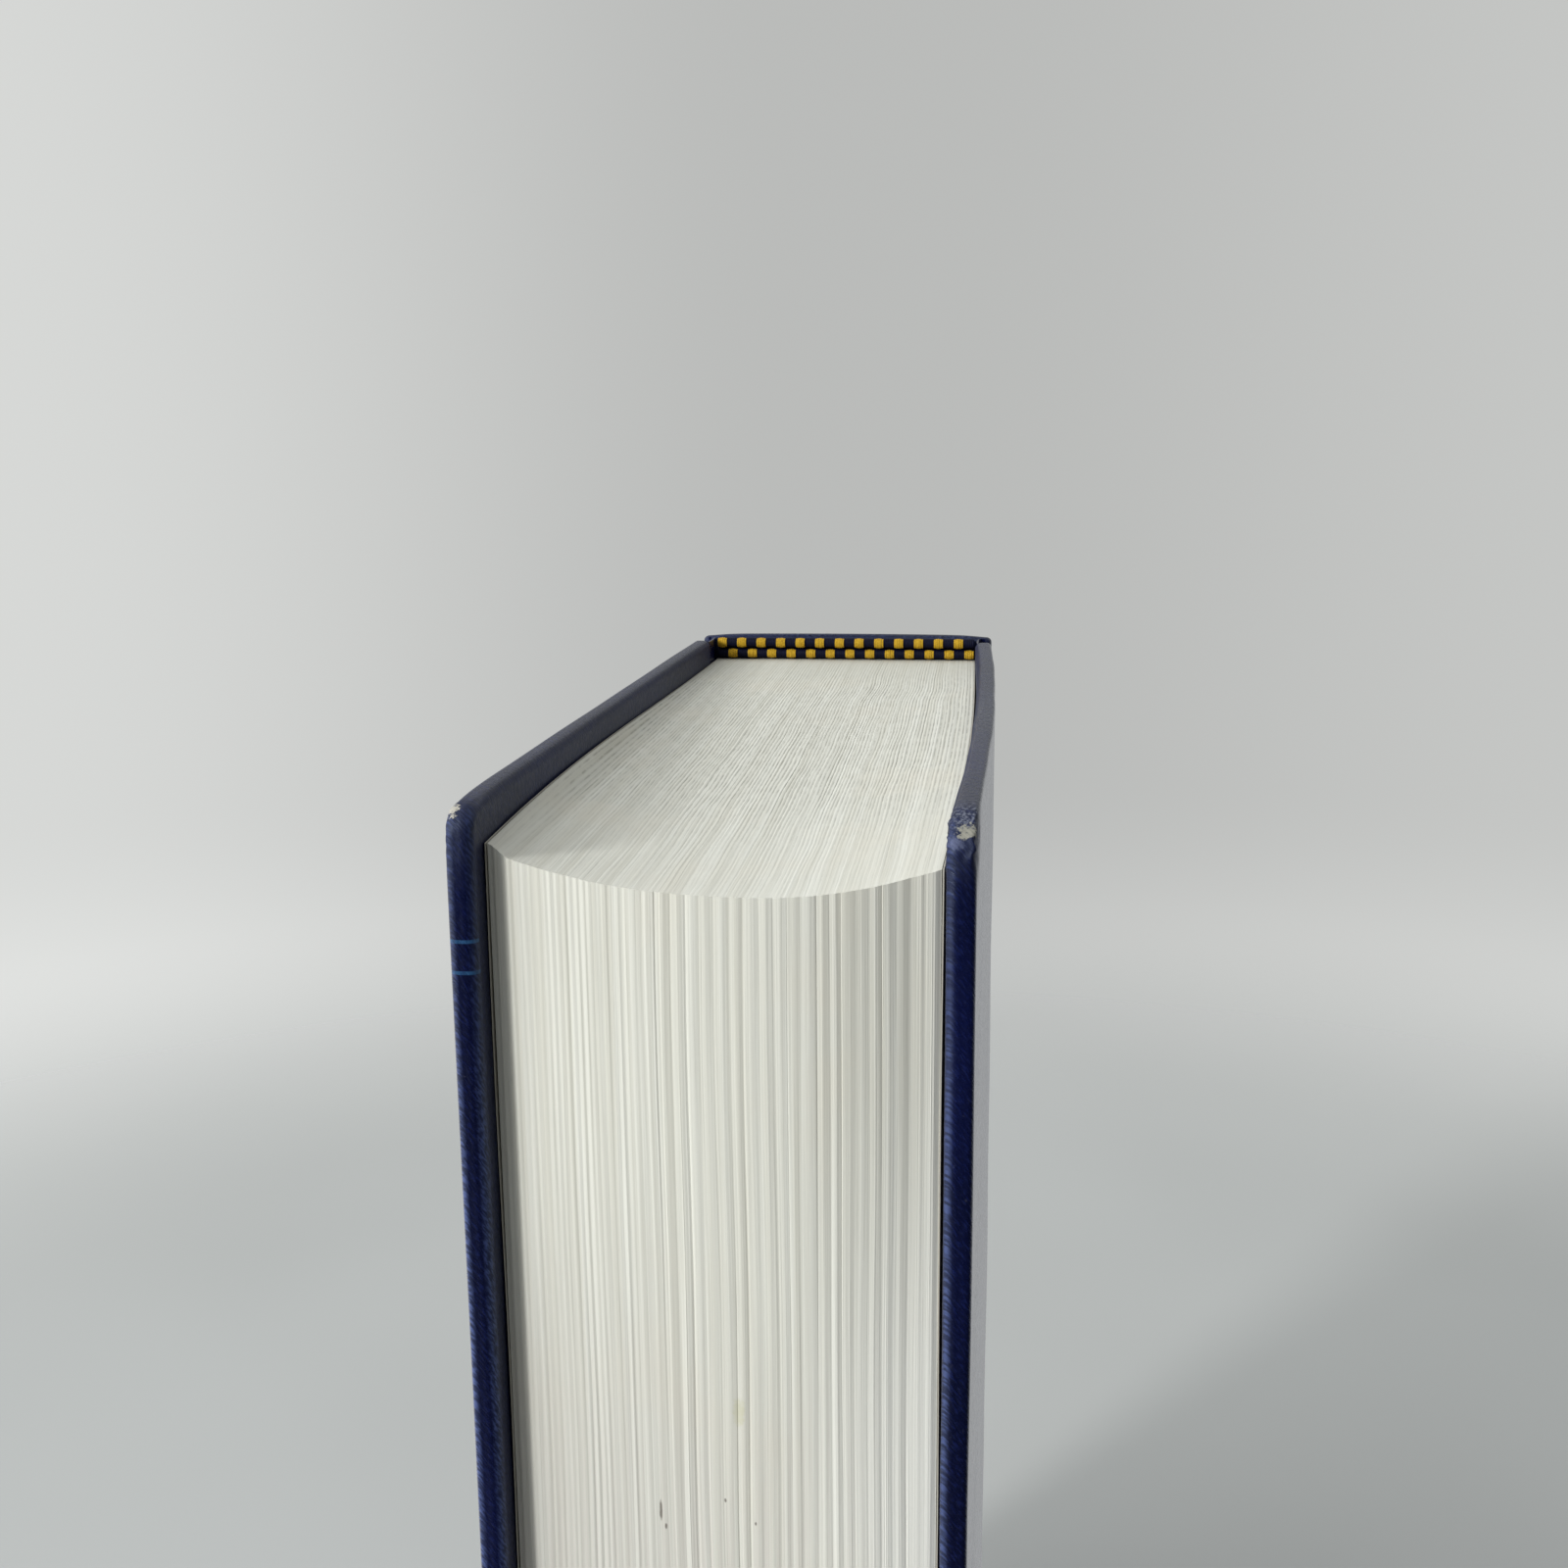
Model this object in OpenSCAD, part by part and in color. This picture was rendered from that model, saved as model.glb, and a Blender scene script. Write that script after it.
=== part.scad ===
// Hardcover book, case bound with a flat back and French joints, standing closed on its tail edge.
// Millimetres. +Z is up, -Y is the fore edge, +Y is the spine, -X is the front cover.
// The origin is the middle of the footprint, on the surface that the book stands on.

/* [Cover boards] */
// Height of the cover boards
board_h = 240.5; // [180:0.5:300]
// Depth of a cover board, from its fore edge to its joint edge
board_d = 146; // [110:0.5:200]
// Thickness of the cover boards
board_t = 2.4; // [1.8:0.1:3.5]
// Rounding of the boards' long edges
board_edge_r = 0.9; // [0.3:0.05:1.2]
// Rounding of the boards' corners
board_corner_r = 1.6; // [0.8:0.1:4]
// Angle at which the closed covers stand off the text block
splay_deg = 0.5; // [0:0.1:2]

/* [Covering sheet] */
// Thickness of the printed covering sheet
wrap_t = 0.25; // [0.15:0.05:0.4]
// Width of the covering that is folded in over the boards
turn_in = 15; // [10:1:20]
// Open seam along the mitred corners of the turn-ins
mitre_gap = 0.4; // [0.2:0.1:0.8]

/* [Spine and joints] */
// Thickness of the spine strip inside the covering
spine_t = 2; // [1.2:0.1:3]
// Height of the spine's shallow curve above its two edges
spine_crown = 1.5; // [0.6:0.1:4]
// Thickness of the joint: covering, gauze and endpaper pasted together
joint_t = 0.7; // [0.5:0.1:1]
// Room between an opened cover and the edge of the spine
joint_play = 1.4; // [0.8:0.1:3]

/* [Text block] */
// Number of sewn signatures
signatures = 32; // [20:1:44]
// Thickness of one signature
signature_t = 1.55; // [1.2:0.05:2]
// Step from the head of the boards down to the pages
head_square = 4.5; // [2.5:0.1:6]
// Step from the tail of the boards up to the pages
tail_square = 5.4; // [2.5:0.1:7]
// Step from the fore edge of the boards in to the outermost pages
fore_square = 4.4; // [2.5:0.1:6]
// How far the lowest pages stand forward at the head
fore_bulge = 4.3; // [0:0.1:6]
// How far the lowest pages lie from the middle, towards the back cover
droop_offset = 3.7; // [0:0.1:8]
// Unevenness from one signature to the next
signature_step = 0.12; // [0:0.02:0.2]

/* [Endpapers] */
// Thickness of the endpaper
paper_t = 0.15; // [0.1:0.05:0.3]
// Border of turned-in covering left around the pasted endpaper
pastedown_margin = 7; // [3:0.5:9]

/* [Head and tail bands] */
// Radius of each of the two woven beads
bead_r = 1.08; // [0.7:0.02:1.12]
// Number of light stitches along each bead
band_checks = 13; // [9:1:17]
// Thickness of the light thread on the beads
thread_t = 0.12; // [0.06:0.02:0.2]
// Height of the tape that hangs behind the pages
tape_h = 9; // [5:0.5:15]

/* [Hidden] */
$fn = 48;

// Clearances and small sizes
block_gap = 0.1;
hinge_gap = 0.15;
hollow_gap = 0.2;
lining_t = 0.5;
tape_t = 0.3;
joint_inset = 0.5;
table_gap = 0.3;
band_gap = 0.05;
bead_lap = 0.1;
weld = 0.02;
overrun = 1;

// Shares of the sizes that they follow
front_settle_share = 0.32;
back_settle_share = 0.46;
tail_bulge_share = 0.35;
check_share = 0.46;
round_share = 0.45;

// Powers, angles, and the counts that curves are drawn with
droop_power = 2.2;
step_turn_deg = 137.5;
upper_stitch_angle = 120;
stitch_room_angle = 2;
wedge_steps = 6;
spine_fn = 720;

// Sides of the case: the front cover is on the left of the fore edge
front = -1;
back = 1;

// Edges of the boards and of the spine strip, never rounder than their thickness allows
panel_edge_r = min(board_edge_r, round_share * board_t);
spine_edge_r = min(board_edge_r, round_share * spine_t);

// Overall sizes of a covered board
cover_h = board_h + 2 * wrap_t;
cover_d = board_d + 2 * wrap_t;
cover_edge_r = panel_edge_r + wrap_t;
cover_corner_r = board_corner_r + wrap_t;

// Distances from the middle plane, from the pages outwards
text_t = signatures * signature_t;
block_u = text_t / 2 + paper_t;
pastedown_u = block_u + block_gap;
turn_in_u = pastedown_u + paper_t;
board_in_u = turn_in_u + wrap_t;
board_out_u = board_in_u + board_t;
cover_out_u = board_out_u + wrap_t;
hinge_u = pastedown_u + joint_t / 2;

// The joint is as wide as the cover needs to swing clear of the spine
joint_w = 2 * (cover_out_u - hinge_u) + joint_play;
spine_wrapped_t = spine_t + 2 * wrap_t;
overall_d = cover_d + 2 * hinge_gap + joint_t + joint_w + spine_wrapped_t + spine_crown;

// Distances along the depth, from the fore edge to the spine
fore_y = -overall_d / 2;
joint_edge_y = fore_y + cover_d;
board_crease_y = joint_edge_y + hinge_gap + joint_t / 2;
spine_crease_y = board_crease_y + joint_w;
spine_in_y = spine_crease_y + joint_t / 2 + hinge_gap;
lining_back_y = spine_in_y - hollow_gap - tape_t;
text_back_y = lining_back_y - lining_t;
text_fore_y = fore_y + fore_square;

// Heights of the pages at the spine, and how far they settle at the fore edge
text_head_z = cover_h - head_square;
text_tail_z = tail_square;
middle_settle = tail_square - table_gap;
front_settle = front_settle_share * middle_settle;
back_settle = back_settle_share * middle_settle;

// Middle line of the curved spine
spine_end_u = cover_out_u - spine_wrapped_t / 2;
spine_end_y = spine_in_y + spine_wrapped_t / 2;
spine_r = (spine_end_u * spine_end_u + spine_crown * spine_crown) / (2 * spine_crown);
spine_centre_y = spine_end_y + spine_crown - spine_r;

// Bands
check_pitch = text_t / band_checks;
bead_y = lining_back_y + tape_t - bead_r;
stitch_angle = asin((bead_r - bead_lap / 2) / (bead_r + thread_t)) - stitch_room_angle;

// Draws its children on one side of the book
module on_side(side) {
    mirror([side == front ? 1 : 0, 0, 0]) children();
}

// Stands a closed cover off the pages, about its board crease
module splayed() {
    translate([hinge_u, board_crease_y, 0])
        rotate([0, 0, splay_deg])
            translate([-hinge_u, -board_crease_y, 0])
                children();
}

// Rectangle from one corner to the other, with round corners
module round_rect(low, high, r) {
    size = high - low;
    difference() {
        translate(low) square(size);
        for (a = [0, 1], b = [0, 1])
            translate([a == 0 ? low.x : high.x, b == 0 ? low.y : high.y])
                mirror([a, 0])
                    mirror([0, b])
                        difference() {
                            translate([-r, -r]) square(2 * r);
                            translate([r, r]) circle(r);
                        }
    }
}

// Extrudes an outline drawn in depth and height along the thickness
module along_x(from, to) {
    translate([from, 0, 0]) rotate([90, 0, 90]) linear_extrude(to - from) children();
}

// Extrudes an outline drawn in thickness and height along the depth
module along_y(from, to) {
    translate([0, to, 0]) rotate([90, 0, 0]) linear_extrude(to - from) children();
}

// A panel with soft edges, as a board or its covering has
module soft_panel(low, high, edge_r, corner_r) {
    intersection() {
        translate([0, 0, low.z])
            linear_extrude(high.z - low.z)
                round_rect([low.x, low.y], [high.x, high.y], edge_r);
        along_y(low.y - overrun, high.y + overrun)
            round_rect([low.x, low.z], [high.x, high.z], edge_r);
        along_x(low.x - overrun, high.x + overrun)
            round_rect([low.y, low.z], [high.y, high.z], corner_r);
    }
}

// Cover board as cut, inside its covering
module board_panel() {
    soft_panel([board_in_u, fore_y + wrap_t, wrap_t],
        [board_out_u, joint_edge_y - wrap_t, cover_h - wrap_t], panel_edge_r, board_corner_r);
}

// Rectangle that the turn-ins leave open on the inner face of a board
module turn_in_window(inset) {
    edge = wrap_t + turn_in + inset;
    translate([fore_y + edge, edge])
        square([cover_d - edge - cover_edge_r - inset, cover_h - 2 * edge]);
}

// Seam where two turn-ins meet at a fore corner
module mitre_seam() {
    length = turn_in * sqrt(2) - cover_corner_r;
    translate([fore_y + wrap_t + turn_in, wrap_t + turn_in])
        rotate(225)
            translate([-mitre_gap, -mitre_gap / 2])
                square([length + mitre_gap, mitre_gap]);
}

// Covering of one board: outer face, four edges and mitred turn-ins
module cover_sheet() {
    difference() {
        soft_panel([turn_in_u, fore_y, 0], [cover_out_u, joint_edge_y, cover_h], cover_edge_r, cover_corner_r);
        board_panel();
        along_x(turn_in_u - overrun, board_in_u + weld) {
            turn_in_window(0);
            mitre_seam();
            translate([0, cover_h]) mirror([0, 1]) mitre_seam();
        }
    }
}

// Endpaper pasted to the inside of a board, dipping between the turn-ins
module pastedown_sheet() {
    difference() {
        union() {
            along_x(pastedown_u, turn_in_u)
                translate([fore_y + pastedown_margin, pastedown_margin])
                    square([cover_d - pastedown_margin, cover_h - 2 * pastedown_margin]);
            along_x(pastedown_u, board_in_u) turn_in_window(0);
        }
        along_x(pastedown_u - overrun, board_in_u - paper_t) turn_in_window(paper_t);
    }
}

// Flexible strip between the cover board and the spine, rounded about its two creases
module joint_strip() {
    translate([0, 0, joint_inset])
        linear_extrude(cover_h - 2 * joint_inset) {
            translate([hinge_u - joint_t / 2, board_crease_y]) square([joint_t, joint_w]);
            translate([hinge_u, board_crease_y]) circle(joint_t / 2);
            translate([hinge_u, spine_crease_y]) circle(joint_t / 2);
        }
}

// Outline of the curved spine strip, seen from the head, with round ends
module spine_outline(thickness) {
    end_angle = asin(spine_end_u / spine_r);
    reach = 2 * spine_r;
    intersection() {
        translate([0, spine_centre_y])
            difference() {
                circle(spine_r + thickness / 2, $fn = spine_fn);
                circle(spine_r - thickness / 2, $fn = spine_fn);
            }
        translate([0, spine_centre_y])
            polygon([[0, 0], [reach * sin(end_angle), reach * cos(end_angle)],
                [-reach * sin(end_angle), reach * cos(end_angle)]]);
    }
    for (side = [front, back])
        translate([side * spine_end_u, spine_end_y]) circle(thickness / 2);
}

// Spine strip with its head and tail edges rounded
module spine_panel(thickness, low_z, high_z, edge_r) {
    intersection() {
        translate([0, 0, low_z]) linear_extrude(high_z - low_z) spine_outline(thickness);
        translate([0, spine_centre_y, 0])
            rotate_extrude($fn = spine_fn)
                round_rect([spine_r - thickness / 2, low_z], [spine_r + thickness / 2, high_z], edge_r);
    }
}

// How far out a page lies between the lowest pages and its cover, from 0 to 1
function outward(u) = abs(u - droop_offset) / (text_t / 2 + (u < droop_offset ? 1 : -1) * droop_offset);

// How much a page keeps back from the drop of the lowest pages, from 0 to 1
function held_back(u) = pow(outward(u), droop_power);

// Small unevenness of one signature against its neighbours
function unevenness(i) = signature_step * sin(i * step_turn_deg);

// Outline of the pages at one distance from the middle, seen from the side
module leaf_outline(u, uneven) {
    side_settle = u < droop_offset ? front_settle : back_settle;
    settle = middle_settle - (middle_settle - side_settle) * held_back(u);
    bulge = fore_bulge * (1 - held_back(u)) + uneven;
    polygon([
        [text_back_y, text_tail_z],
        [text_back_y, text_head_z],
        [text_fore_y - bulge, text_head_z - settle],
        [text_fore_y - bulge * tail_bulge_share, text_tail_z - settle]
    ]);
}

// Woven band: two beads on a tape, standing on the pages at the head
module band() {
    rotate([0, 90, 0]) translate([0, 0, -text_t / 2]) band_beads();
    translate([-text_t / 2, lining_back_y, text_head_z - tape_h])
        cube([text_t, tape_t, tape_h + bead_z(1) - text_head_z]);
}

// Height of the middle of one bead: the lower one is 0, the upper one is 1
function bead_z(row) = text_head_z + band_gap + bead_r + row * (2 * bead_r - bead_lap);

module band_beads() {
    for (row = [0, 1])
        translate([-bead_z(row), bead_y, 0]) cylinder(h = text_t, r = bead_r);
}

// Light stitches over the beads, in a checker pattern: the upper ones reach over the top
module band_stitches() {
    stitch_w = check_pitch * check_share;
    for (row = [0, 1], i = [0 : band_checks - 1]) {
        start = -text_t / 2 + (i + (row == 0 ? 1 - check_share : 0)) * check_pitch;
        translate([0, bead_y, bead_z(row)])
            along_x(start, start + stitch_w)
                stitch_outline(row == 0 ? stitch_angle : upper_stitch_angle);
    }
}

// Section of a stitch: a thin arc on a bead, from below its front to an angle above it
module stitch_outline(top_angle) {
    reach = 2 * bead_r;
    turn = (top_angle + stitch_angle) / wedge_steps;
    intersection() {
        difference() {
            circle(bead_r + thread_t);
            circle(bead_r);
        }
        polygon(concat([[0, 0]], [for (k = [0 : wedge_steps])
            reach * [-cos(k * turn - stitch_angle), sin(k * turn - stitch_angle)]]));
    }
}

// Turns what stands at the head over to the tail
module at_tail() {
    translate([0, 0, text_head_z + text_tail_z]) mirror([0, 0, 1]) children();
}

module text_block() {
    color("ivory")
        for (i = [0 : signatures - 1]) {
            start = -text_t / 2 + i * signature_t;
            last = i == signatures - 1;
            along_x(start, start + signature_t + (last ? 0 : weld))
                leaf_outline(start + signature_t / 2, unevenness(i));
        }
}

module flyleaf(side) {
    color("whitesmoke") on_side(side) along_x(text_t / 2, block_u) leaf_outline(side * text_t / 2, 0);
}

module spine_lining() {
    color("tan")
        translate([-text_t / 2, text_back_y, text_tail_z])
            cube([text_t, lining_t, text_head_z - text_tail_z]);
}

module head_band() {
    color("midnightblue") band();
}

module head_band_thread() {
    color("gold") band_stitches();
}

module tail_band() {
    color("midnightblue") at_tail() band();
}

module tail_band_thread() {
    color("gold") at_tail() band_stitches();
}

module spine_board() {
    color("darkgray") spine_panel(spine_t, wrap_t, cover_h - wrap_t, spine_edge_r);
}

module spine_cover() {
    edge = wrap_t + turn_in;
    color("midnightblue")
        difference() {
            spine_panel(spine_wrapped_t, 0, cover_h, spine_edge_r + wrap_t);
            spine_panel(spine_t, wrap_t, cover_h - wrap_t, spine_edge_r);
            translate([0, 0, edge])
                linear_extrude(cover_h - 2 * edge)
                    intersection() {
                        translate([0, spine_centre_y]) circle(spine_r, $fn = spine_fn);
                        translate([-hinge_u, spine_centre_y]) square([2 * hinge_u, 2 * spine_r]);
                    }
        }
}

module joint(side) {
    color("midnightblue") on_side(side) joint_strip();
}

module board(side) {
    color("darkgray") on_side(side) splayed() board_panel();
}

module cover(side) {
    color("midnightblue") on_side(side) splayed() cover_sheet();
}

module pastedown(side) {
    color("whitesmoke") on_side(side) splayed() pastedown_sheet();
}

text_block();
flyleaf(front);  // front_flyleaf
flyleaf(back);  // back_flyleaf
spine_lining();
head_band();
head_band_thread();
tail_band();
tail_band_thread();
spine_board();
spine_cover();
joint(front);  // front_joint
board(front);  // front_board
cover(front);  // front_cover
pastedown(front);  // front_pastedown
joint(back);  // back_joint
board(back);  // back_board
cover(back);  // back_cover
pastedown(back);  // back_pastedown
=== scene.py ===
from math import cos, pi, radians, sin, sqrt

import bpy
import numpy as np
from mathutils import Matrix, Vector


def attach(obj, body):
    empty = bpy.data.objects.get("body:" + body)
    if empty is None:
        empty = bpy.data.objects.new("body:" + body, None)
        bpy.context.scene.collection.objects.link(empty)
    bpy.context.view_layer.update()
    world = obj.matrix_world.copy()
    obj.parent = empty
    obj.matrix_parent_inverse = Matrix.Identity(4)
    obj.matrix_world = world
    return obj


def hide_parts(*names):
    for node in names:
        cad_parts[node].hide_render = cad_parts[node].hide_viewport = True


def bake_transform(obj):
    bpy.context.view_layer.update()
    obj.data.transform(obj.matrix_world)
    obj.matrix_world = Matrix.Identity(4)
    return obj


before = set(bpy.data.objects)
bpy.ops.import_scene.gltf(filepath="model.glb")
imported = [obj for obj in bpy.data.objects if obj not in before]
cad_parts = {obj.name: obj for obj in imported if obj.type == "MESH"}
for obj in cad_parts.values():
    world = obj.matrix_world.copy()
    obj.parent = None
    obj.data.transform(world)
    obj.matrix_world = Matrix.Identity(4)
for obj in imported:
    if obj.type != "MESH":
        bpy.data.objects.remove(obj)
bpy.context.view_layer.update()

# Sizes of the CAD model in millimetres: u goes out from the middle, y back to the spine and z up
MM = 0.001
FRONT, BACK = -1, 1
SIDES = ((FRONT, "front"), (BACK, "back"))
COVER_H = 241.0
COVER_D = 146.5
COVER_T = 2.9
COVER_EDGE_R = 1.3
COVER_CORNER_R = 1.85
FORE_Y = -79.15
JOINT_EDGE_Y = 67.35
TURN_IN_U = 25.2
TURN_IN_W = 15.25
WRAP_T = 0.25
PAPER_T = 0.15
PASTE_MARGIN = 7.0
HINGE_U = 25.4
BOARD_CREASE_Y = 67.85
SPLAY = radians(0.5)
JOINT_LOW_Z, JOINT_HIGH_Z = 0.5, 240.5
JOINT_MID_Y = 71.25
SPINE_R = 241.0575
SPINE_CENTRE_Y = -163.1575
SPINE_T = 2.5
SPINE_LENGTH = 56.3
TEXT_HALF = 24.8
TEXT_BACK_Y = 74.15
TEXT_FORE_Y = -74.75
TEXT_HEAD_Z = 236.5
TEXT_TAIL_Z = 5.4
MIDDLE_SETTLE = 5.1
SIDE_SETTLE = {FRONT: 1.632, BACK: 2.346}
FORE_BULGE = 4.3
TAIL_BULGE_SHARE = 0.35
DROOP_OFFSET, DROOP_POWER = 3.7, 2.2
SIGNATURES = 32
BEAD_R = 1.08
BEAD_Y = 73.87
BEAD_Z = (237.63, 239.69)
BAND_CHECKS = 13
CHECK_PITCH = 2 * TEXT_HALF / BAND_CHECKS
CHECK_SHARE = 0.46
TAPE_Y, TAPE_T, TAPE_LOW_Z = 74.65, 0.3, 227.5

# Forms that only the look has: bowed covers, swollen fore edges, a gap behind the endpapers
COVER_BOW = {FRONT: 0.12, BACK: 1.3}
EDGE_SWELL, SWELL_REACH = 0.45, 9.0
CLEARANCE = 0.01

# Seeds of the random draws
PAGE_SEED, WANDER_SEED, RIPPLE_SEED, FLYLEAF_SEED = 11, 3, 4, 21
CRUMPLE_SEED, TAIL_SEED, UNEVEN_SEED, PASTE_SEED, SPINE_SEED = 31, 41, 51, 61, 71
BAND_SEED = 5

# Fineness of the meshes
NOISE_TERMS = 7
SLAB_STEP = 3.0
NEAR_STEPS = (0.0, 0.35, 0.8, 1.4, 2.2, 3.2, 4.5, 6.2, 8.2)
FLAT_INSETS = (18.0, 15.6, TURN_IN_W, 15.0, 12.0, 9.0, 6.5, 4.5, 3.0, 2.0, 1.4)
CORNER_STEPS, ARC_STEPS, SIDE_STEPS = 8, 6, 6
STRIPS_PER_SIGNATURE = 18
LEAF_STEPS = (36, 48, 36)
FLYLEAF_GRID = (41, 33)
PASTE_NEAR = np.array([0.0, 1.0, 2.0, 3.5, 5.0, 7.0, 8.5, 8.9, 9.3, 9.7, 11.0])
PASTE_FAR, PASTE_COLUMNS, PASTE_ROWS = 15, 37, 47
STRIP_LEVELS, STRIP_COLUMNS = 41, 17
LEAD_STEPS, BEND_STEPS, RUN_STEPS = 4, 7, 9
TURN_STEPS, THREAD_STEPS, CORE_STEPS = 16, 6, 16
TAPE_COLUMNS, TAPE_ROWS = 25, 7
# Angles in degrees from which an edge stays sharp
SHEET_SHARP, STRIP_SHARP, BAND_SHARP = 40, 50, 60


# Numbers and meshes
def smooth(low, high, value):
    """Soft step from 0 at low to 1 at high."""
    t = np.clip((value - low) / (high - low), 0.0, 1.0)
    return t * t * (3 - 2 * t)


def wavy(seed, points, wavelengths):
    """Smooth seeded noise of about unit size, with a wavelength for each column of points."""
    random = np.random.default_rng(seed)
    total = np.zeros(len(points))
    for _ in range(NOISE_TERMS):
        turn = random.normal(size=len(wavelengths))
        phase = random.uniform(0, 2 * pi)
        total += np.sin(2 * pi * (points / np.array(wavelengths)) @ turn + phase)
    return total / sqrt(NOISE_TERMS / 2)


def add_object(name, data):
    """New object in the scene."""
    made = bpy.data.objects.new(name, data)
    bpy.context.scene.collection.objects.link(made)
    return made


def make_piece(name, points, faces, attributes=None, sharp_deg=None):
    """Mesh object from points in millimetres, which keeps their resting places and other values."""
    points = np.asarray(points, float)
    mesh = bpy.data.meshes.new(name)
    mesh.from_pydata((points * MM).tolist(), [], [list(map(int, f)) for f in faces])
    mesh.validate()
    rest = mesh.attributes.new("rest", "FLOAT_VECTOR", "POINT")
    rest.data.foreach_set("vector", points.astype(np.float32).ravel())
    for key, values in (attributes or {}).items():
        layer = mesh.attributes.new(key, "FLOAT", "POINT")
        layer.data.foreach_set("value", np.asarray(values, np.float32))
    mesh.polygons.foreach_set("use_smooth", [True] * len(mesh.polygons))
    if sharp_deg is not None:
        mesh.set_sharp_from_angle(angle=radians(sharp_deg))
    mesh.update()
    return add_object(name, mesh)


def merged(points, faces, values):
    """Joins points at the same place and drops the faces that vanish."""
    keys = np.round(points, 5)
    _, first, back = np.unique(keys, axis=0, return_index=True, return_inverse=True)
    back = back.reshape(-1)
    kept = []
    for face in faces:
        ring = [int(back[i]) for i in face]
        ring = [v for k, v in enumerate(ring) if v != ring[k - 1]]
        if len(set(ring)) > 2:
            kept.append(ring)
    return points[first], kept, values[first]


def turned(faces, flip):
    """The same faces, turned over if flip is set."""
    return [f[::-1] for f in faces] if flip else faces


def grid_of(first, second):
    """All pairs of the values along two lines, column by column."""
    return [axis.ravel() for axis in np.meshgrid(first, second, indexing="ij")]


def grid_faces(columns, rows, base=0):
    """Faces of a grid of points that are kept column by column."""
    corners = (0, rows, rows + 1, 1)
    starts = [base + i * rows + j for i in range(columns - 1) for j in range(rows - 1)]
    return [tuple(start + corner for corner in corners) for start in starts]


def ring_faces(rings, count):
    """Faces between closed rings of count points that follow one another."""
    faces = []
    for k in range(rings - 1):
        for j in range(count):
            n = (j + 1) % count
            faces.append((k * count + j, k * count + n, (k + 1) * count + n, (k + 1) * count + j))
    return faces


def thin_sheet(columns, rows, inner, outer):
    """Closed sheet over a grid, from the points of its two faces, column by column."""
    count = columns * rows
    faces = []
    for quad in grid_faces(columns, rows):
        faces += [quad[::-1], tuple(q + count for q in quad)]
    rim = [i * rows for i in range(columns)]
    rim += [(columns - 1) * rows + j for j in range(1, rows)]
    rim += [i * rows + rows - 1 for i in range(columns - 2, -1, -1)]
    rim += list(range(rows - 2, 0, -1))
    for k, p in enumerate(rim):
        q = rim[(k + 1) % len(rim)]
        faces.append((p, q, q + count, p + count))
    return np.concatenate([inner, outer]), faces


# Panels with round edges
def spaced(length):
    """Shares along a side from 0 to 1, close together near both ends."""
    near = np.array(NEAR_STEPS)
    count = max(2, round((length - 2 * near[-1]) / SLAB_STEP))
    middle = np.linspace(near[-1], length - near[-1], count + 1)
    return np.concatenate([near[:-1], middle, length - near[:-1][::-1]]) / length


def slab_loop(size_a, size_b, inset, corner_rs):
    """One loop round a panel, inset from its outline, corner by corner."""
    low, high_a, high_b = inset, size_a - inset, size_b - inset
    radii = np.maximum(np.array(corner_rs) - inset, 0.0)
    corners = np.array([(low, low), (high_a, low), (high_a, high_b), (low, high_b)])
    centres = corners + np.array([(1, 1), (-1, 1), (-1, -1), (1, -1)]) * radii[:, None]
    shares = (spaced(size_a)[1:-1], spaced(size_b)[1:-1])

    def on_corner(k, degrees):
        angle = radians(180 + 90 * k + degrees)
        return centres[k] + radii[k] * np.array([cos(angle), sin(angle)])

    loop = []
    for k in range(4):
        loop += [on_corner(k, 90 * s / CORNER_STEPS) for s in range(CORNER_STEPS + 1)]
        start, end = loop[-1], on_corner((k + 1) % 4, 0)
        loop += [start + (end - start) * share for share in shares[k % 2]]
    return np.array(loop)


def slab_section(thick, inner_r, outer_r):
    """Insets and heights of a panel's loops, from its inner face to its outer face."""
    arc = np.radians(np.linspace(0, 90, ARC_STEPS + 1))
    levels = [thick * k / SIDE_STEPS for k in range(1, SIDE_STEPS)]
    section = [(d, 0.0) for d in FLAT_INSETS if d > inner_r]
    section += [(inner_r * (1 - sin(t)), inner_r * (1 - cos(t))) for t in arc]
    section += [(0.0, w) for w in levels if inner_r < w < thick - outer_r]
    section += [(outer_r * (1 - cos(t)), thick - outer_r * (1 - sin(t))) for t in arc]
    section += [(d, thick) for d in FLAT_INSETS[::-1] if d > outer_r]
    return section


def soft_slab(size_a, size_b, thick, inner_r, outer_r, corner_rs):
    """Panel with round edges and corners, as points (a, b, w), faces and the insets of the points."""
    section = slab_section(thick, inner_r, outer_r)
    points, insets = [], []
    for inset, w in section:
        loop = slab_loop(size_a, size_b, inset, corner_rs)
        points.append(np.column_stack([loop, np.full(len(loop), w)]))
        insets.append(np.full(len(loop), inset))
    count = len(points[0])
    faces = ring_faces(len(section), count)
    base = len(section) * count
    deep = FLAT_INSETS[0]
    lines = [deep + (size - 2 * deep) * spaced(size) for size in (size_a, size_b)]
    a, b = grid_of(*lines)
    for w, flip in ((0.0, True), (thick, False)):
        points.append(np.column_stack([a, b, np.full(a.size, w)]))
        insets.append(np.full(a.size, deep))
        faces += turned(grid_faces(len(lines[0]), len(lines[1]), base), flip)
        base += a.size
    return merged(np.concatenate(points), faces, np.concatenate(insets))


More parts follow.
